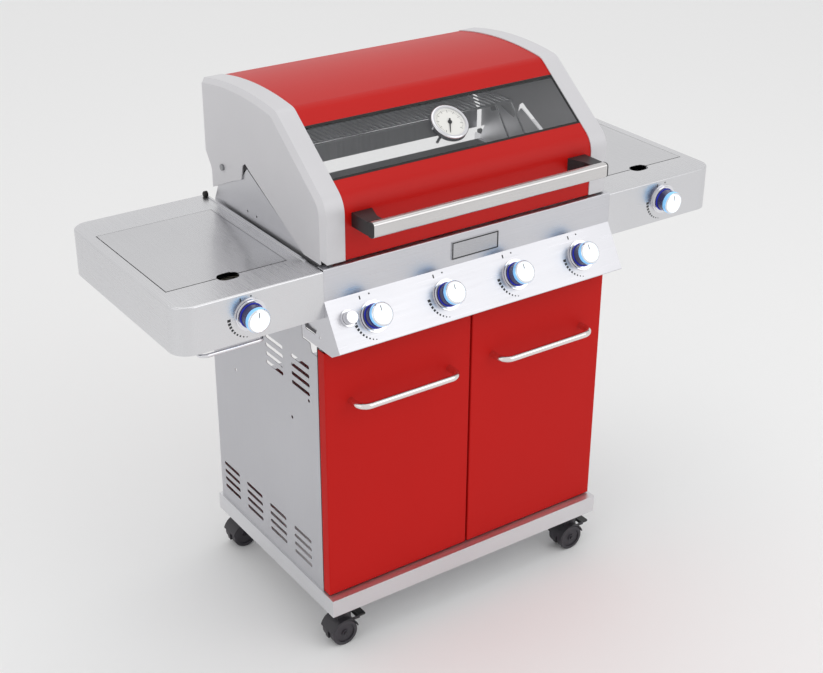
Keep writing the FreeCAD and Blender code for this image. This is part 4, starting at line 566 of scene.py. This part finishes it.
@dataclass
class Studio:
    """Floor, soft lights and camera."""

    focal_px: float = 1459.8
    width_px: int = 823
    yaw: float = -34.701
    height_angle: float = 27.081
    roll: float = 0.299
    eye_mm: tuple[float, float, float] = (-1690.6, -2430.65, 2093.4)
    sensor_mm: float = 36.0
    far_m: float = 100.0
    floor_half_m: float = 30.0
    room_strength: float = 0.84
    aim_m: tuple[float, float, float] = (0.0, 0.0, 0.7)

    def build(self) -> None:
        """Makes everything that isn't the grill."""
        self.floor()
        self.lights()
        self.camera()

    def floor(self) -> None:
        """A plain pale floor."""
        mesh = bmesh.new()
        bmesh.ops.create_grid(mesh, x_segments=2, y_segments=2, size=self.floor_half_m)
        data = bpy.data.meshes.new("studio_floor")
        mesh.to_mesh(data)
        mesh.free()
        data.materials.append(GrainedPaint("studio_floor_paint", "#F4F4F4", 0.9, bump=0.0).material())
        floor = bpy.data.objects.new("studio_floor", data)
        bpy.context.scene.collection.objects.link(floor)

    def lights(self) -> None:
        """An even white room and three soft lamps: front right, left and above."""
        world = bpy.data.worlds.new("studio_room")
        world.use_nodes = True
        bpy.context.scene.world = world
        tree = world.node_tree
        tree.nodes.clear()
        output = add_node(tree, "ShaderNodeOutputWorld")
        room = add_node(tree, "ShaderNodeBackground", {"Color": linear("#FFFFFF"),
                                                          "Strength": self.room_strength})
        tree.links.new(room.outputs[0], output.inputs["Surface"])
        lamps = (("key", (1.8, -3.4, 3.0), 3.0, 24.0), ("fill", (-3.4, -0.8, 1.8), 2.2, 5.0),
                 ("top", (0.2, 0.4, 4.0), 3.0, 14.0))
        for name, spot, size, power in lamps:
            lamp = bpy.data.lights.new(f"studio_{name}", "AREA")
            lamp.shape = "SQUARE"
            lamp.size = size
            lamp.energy = power
            holder = bpy.data.objects.new(f"studio_{name}", lamp)
            aim = Vector(self.aim_m) - Vector(spot)
            holder.matrix_world = Matrix.Translation(spot) @ aim.to_track_quat("-Z", "Y").to_matrix().to_4x4()
            bpy.context.scene.collection.objects.link(holder)

    def camera(self) -> None:
        """The camera, above and in front of the grill's left side."""
        yaw, rise, roll = (math.radians(v) for v in (self.yaw, self.height_angle, self.roll))
        right = Vector((math.cos(yaw), math.sin(yaw), 0))
        back = Vector((math.sin(yaw) * math.cos(rise), -math.cos(yaw) * math.cos(rise), math.sin(rise)))
        above = back.cross(right)
        side = right * math.cos(roll) + above * math.sin(roll)
        top = above * math.cos(roll) - right * math.sin(roll)
        lens = bpy.data.cameras.new("studio_camera")
        lens.sensor_fit = "HORIZONTAL"
        lens.sensor_width = self.sensor_mm
        lens.lens = self.focal_px * self.sensor_mm / self.width_px
        lens.clip_end = self.far_m
        holder = bpy.data.objects.new("studio_camera", lens)
        holder.matrix_world = Matrix.Translation(Vector(self.eye_mm) * MM) @ Matrix(
            (side, top, back)).transposed().to_4x4()
        bpy.context.scene.collection.objects.link(holder)
        bpy.context.scene.camera = holder


@dataclass
class CadFinishes:
    """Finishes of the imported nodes, by the start of their name."""

    by_name: dict[str, Finish] = field(default_factory=lambda: {
        "base_frame": STAINLESS_BASE, "cabinet_side": PLAIN_SIDE, "cabinet_back": PLAIN_SIDE,
        "door_crossbar": ZINC, "hinge_pins": ZINC, "castor_mounts": ZINC, "castor_fork": CASTOR_HOOD,
        "castor_wheels": CASTOR_DISC, "brake_pedal": BLACK_MOULDED, "door_left": RED_DOOR,
        "door_right": RED_DOOR,
        "door_handle": BRIGHT_STEEL, "shelf": STAINLESS_DEEP, "burner_cover": STAINLESS_COVER,
        "lid_cap": CAP_PAINT, "lid_hood": RED_LID, "lid_front": RED_LID, "firebox_side": GUSSET,
        "firebox": PLAIN_BOX, "burners": BURNER_TUBE, "flame_tamers": TAMER_SHEET, "igniters": WHITE_CERAMIC,
        "cooking_grates": GRATE_BARS, "warming_rack": WIRE_CHROME, "grease_tray": PLAIN_BOX,
        "gas_manifold": ZINC, "gas_valves": BRASS, "control_panel": STAINLESS_WIDE, "badge_plate": BADGE_FACE,
        "knob_bezels": CHROME, "led_rings": LED, "light_button": CHROME, "sear_burner": CERAMIC,
        "side_burner": CROWN_METAL, "side_trivets": TRIVET_ENAMEL, "towel_bar": CHROME, "window_glass": GLASS,
        "window_seal": SEAL, "thermometer_case": CHROME, "thermometer_needle": PRINT_DARK,
        "handle_bar": HANDLE_STEEL, "handle_brackets": BLACK_MOULDED, "burner_knob": KNOB_FACE_PAINTED_HIGHLIGHT,
        "side_knob": KNOB_FACE_PAINTED_HIGHLIGHT})

    def build(self, nodes: dict[str, bpy.types.Object]) -> None:
        """Dresses every node with the finish whose name is its longest match.

        Args:
            nodes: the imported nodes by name.
        """
        for name, node in nodes.items():
            match = max((key for key in self.by_name if name.startswith(key)), key=len)
            dress(node, self.by_name[match])
            LOG.info("node %s: %s", name, match)


@dataclass
class LitKnobs:
    """The six gas knobs: navy skirt, lit halo, plated rim and a white face whose glow is a painted highlight,
    with a pointer.
    """

    joint_depth_mm: float = 15.0
    radius: float = 25.0
    skirt: float = 7.5
    reach: float = 37.0
    halo_start: float = 11.5     # below the knob's face
    halo_deep: float = 1.0
    rim_wide: float = 4.2
    pointer: tuple[float, float, float] = (1.3, 11.0, 0.5)
    pointer_out: float = 12.0
    pointer_sunk: float = 1.2
    names: tuple[str, ...] = ("burner_knob_1", "burner_knob_2", "burner_knob_3", "burner_knob_4",
                              "side_knob_left", "side_knob_right")

    def build(self, joints: list[dict]) -> list[Matrix]:
        """Makes one knob per gas tap.

        Args:
            joints: the record's joints.

        Returns:
            The places of the knobs on the panel, Z outward.
        """
        by_name = {joint["name"]: joint for joint in joints}
        places = []
        for name in self.names:
            joint = by_name[f"{name}_turn"]
            axis = Vector(joint["axis"])
            foot = Vector(joint["pos_m"]) - axis * self.joint_depth_mm * MM
            place = frame_at(foot, axis, Vector((0, 0, 1)))
            mesh = self.shape()
            bmesh.ops.transform(mesh, matrix=place, verts=mesh.verts)
            made = piece(f"{name}_lit", mesh, (KNOB_SIDE, KNOB_HALO, KNOB_RIM, KNOB_FACE_PAINTED_HIGHLIGHT, PRINT_DARK),
                         f"{name}_body", smooth=True)
            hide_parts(name)
            places.append(place)
        return places

    def shape(self) -> bmesh.types.BMesh:
        """The knob round Z, with a material index for each zone."""
        r, low, top = self.radius, self.skirt, self.reach
        outline = [(0.0, low), (r - 1.5, low), (r - 0.8, low + 0.7), (r - 0.8, top - 12.0),
                   (r - 0.2, top - 11.0),
                   (r, top - 10.0), (r, top - 3.5), (r - 0.6, top - 2.2), (r - 2.2, top - 0.3),
                   (r - 3.0, top),
                   (r - 3.8, top - 0.3), (r - 4.6, top - 1.0), (r - 9.0, top - 1.05), (0.0, top - 1.1)]
        mesh = lathe(outline)
        for face in mesh.faces:
            middle = face.calc_center_median()
            height, radius = middle.z / MM, math.hypot(middle.x, middle.y) / MM
            face.material_index = self.zone(height, radius)
        mark = Matrix.Translation((0, self.pointer_out * MM, (top - self.pointer_sunk) * MM))
        add_slab(mesh, self.pointer, mark, 4)
        return mesh

    def zone(self, height: float, radius: float) -> int:
        """Material index of a spot on the knob.

        Args:
            height: millimetres above the panel.
            radius: millimetres from the knob's axis.

        Returns:
            0 for the skirt, 1 for the halo, 2 for the rim and 3 for the face.
        """
        if height < self.reach - self.halo_start:
            return 0
        if radius > self.radius - self.halo_deep:
            return 1
        return 2 if radius > self.radius - self.rim_wide else 3


@dataclass
class PanelMarks:
    """Printed heat scales beside the knobs and a raised border on the blank badge."""

    wedges: int = 9
    ring: float = 46.0
    start: float = 182.0
    sweep: float = 76.0
    lift: float = 0.15
    head: float = 47.0
    apron_head: float = 38.0
    first_wedge: tuple[float, float] = (7.0, 5.6)
    wedge_shrink: tuple[float, float] = (5.0, 3.2)
    border: float = 2.2
    border_inset: float = 3.0
    border_lift: float = 0.6

    def build(self, places: list[Matrix]) -> None:
        """Prints a scale beside every knob, lower on the upright shelf aprons than on the sloping panel.

        Args:
            places: the knobs' places, Z outward and Y up.
        """
        mesh = bmesh.new()
        for place in places:
            upright = abs(place.col[2].z) < 0.1
            head = self.apron_head if upright else self.head
            for i in range(self.wedges):
                share = i / (self.wedges - 1)
                angle = math.radians(self.start + share * self.sweep)
                wide, tall = (w - s * share for w, s in zip(self.first_wedge, self.wedge_shrink))
                size = (wide, tall, self.lift)
                spot = Matrix.Rotation(angle, 4, "Z") @ Matrix.Translation((self.ring * MM, 0, 0))
                add_slab(mesh, size, place @ spot)
            for x, y, wide, tall in ((3.0, head, 3.2, 3.2), (-20.0, head - 3.0, 3.0, 7.5)):
                add_slab(mesh, (wide, tall, self.lift), place @ Matrix.Translation((x * MM, y * MM, 0)))
        piece("panel_scales", mesh, (PRINT_DARK,), "frame")
        self.badge()

    def badge(self) -> None:
        """A dark raised border round the blank badge."""
        low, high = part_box("badge_plate")
        mesh = bmesh.new()
        size = (high - low) / MM
        place = frame_at(Vector(((low.x + high.x) / 2, low.y, (low.z + high.z) / 2)), Vector((0, -1, 0)),
                         Vector((0, 0, 1)))
        bar, lift = self.border, self.border_lift
        edge_x, edge_y = size.x / 2 - self.border_inset, size.z / 2 - self.border_inset
        for side in (-1, 1):
            across = place @ Matrix.Translation((0, side * edge_y * MM, 0))
            upright = place @ Matrix.Translation((side * edge_x * MM, 0, 0))
            add_slab(mesh, (edge_x * 2 + bar, bar, lift), across)
            add_slab(mesh, (bar, edge_y * 2 - bar, lift), upright)
        piece("badge_border", mesh, (PRINT_DARK,), "frame")


@dataclass
class Bumpers:
    """Small black plugs beside the lid, at the back inner corner of each shelf."""

    radius: float = 6.5
    depth: float = 9.0
    inset: float = 14.0
    above_deck: float = 3.4
    sunk: float = 1.5
    chamfer: float = 2.0
    facets: int = 32

    def build(self) -> None:
        """One plug at the back inner corner of each shelf."""
        for name, side in (("left", -1), ("right", 1)):
            low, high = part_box(f"shelf_{name}")
            inner = high.x if side < 0 else low.x
            mesh = lathe([(0.0, 0.0), (self.radius, 0.0), (self.radius, self.depth - self.chamfer),
                          (self.radius - self.chamfer, self.depth), (0.0, self.depth)], self.facets)
            place = frame_at(Vector((inner + side * self.sunk * MM, high.y - self.inset * MM,
                                     high.z + self.above_deck * MM)), Vector((side, 0, 0)), Vector((0, 0, 1)))
            bmesh.ops.transform(mesh, matrix=place, verts=mesh.verts)
            piece(f"lid_bumper_{name}", mesh, (SEAL,), "frame", smooth=True)


@dataclass
class Thermometer:
    """Dial plate with tick marks inside the lid gauge."""

    dial_height: float = 9.0
    radius: float = 34.6
    ticks: int = 37
    sweep: float = 270.0
    plate: float = 0.3
    facets: int = 72
    tick_reach: float = 30.0
    long_every: int = 4
    long_tick: tuple[float, float, float] = (6.0, 0.9, 0.1)
    short_tick: tuple[float, float, float] = (3.0, 0.5, 0.1)

    def build(self, joints: list[dict]) -> None:
        """Makes the dial and its ticks.

        Args:
            joints: the record's joints.
        """
        joint = next(j for j in joints if j["name"] == "thermometer_turn")
        out = Vector(joint["axis"]) * -1
        place = frame_at(Vector(joint["pos_m"]) + out * self.dial_height * MM, out, Vector((0, 0, 1)))
        disc = [(0.0, 0.0), (self.radius, 0.0), (self.radius, self.plate), (0.0, self.plate)]
        mesh = lathe(disc, self.facets)
        for i in range(self.ticks):
            share = i / (self.ticks - 1)
            angle = math.radians(-90 - (360 - self.sweep) / 2 - share * self.sweep)
            size = self.short_tick if i % self.long_every else self.long_tick
            out_to = Matrix.Translation(((self.tick_reach - size[0] / 2) * MM, 0, self.plate * MM))
            spot = Matrix.Rotation(angle, 4, "Z") @ out_to
            add_slab(mesh, size, spot, 1)
        bmesh.ops.transform(mesh, matrix=place, verts=mesh.verts)
        piece("thermometer_dial", mesh, (DIAL_FACE, PRINT_DARK), "lid")


def main() -> None:
    """Builds the grill's looks in order."""
    logging.basicConfig(level=logging.INFO, format="%(message)s")
    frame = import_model()
    bpy.context.scene.view_settings.view_transform = "Standard"
    CadFinishes().build(frame["nodes"])
    places = LitKnobs().build(frame["joints"])
    PanelMarks().build(places)
    Bumpers().build()
    Thermometer().build(frame["joints"])
    Studio().build()


if __name__ == "__main__":
    main()
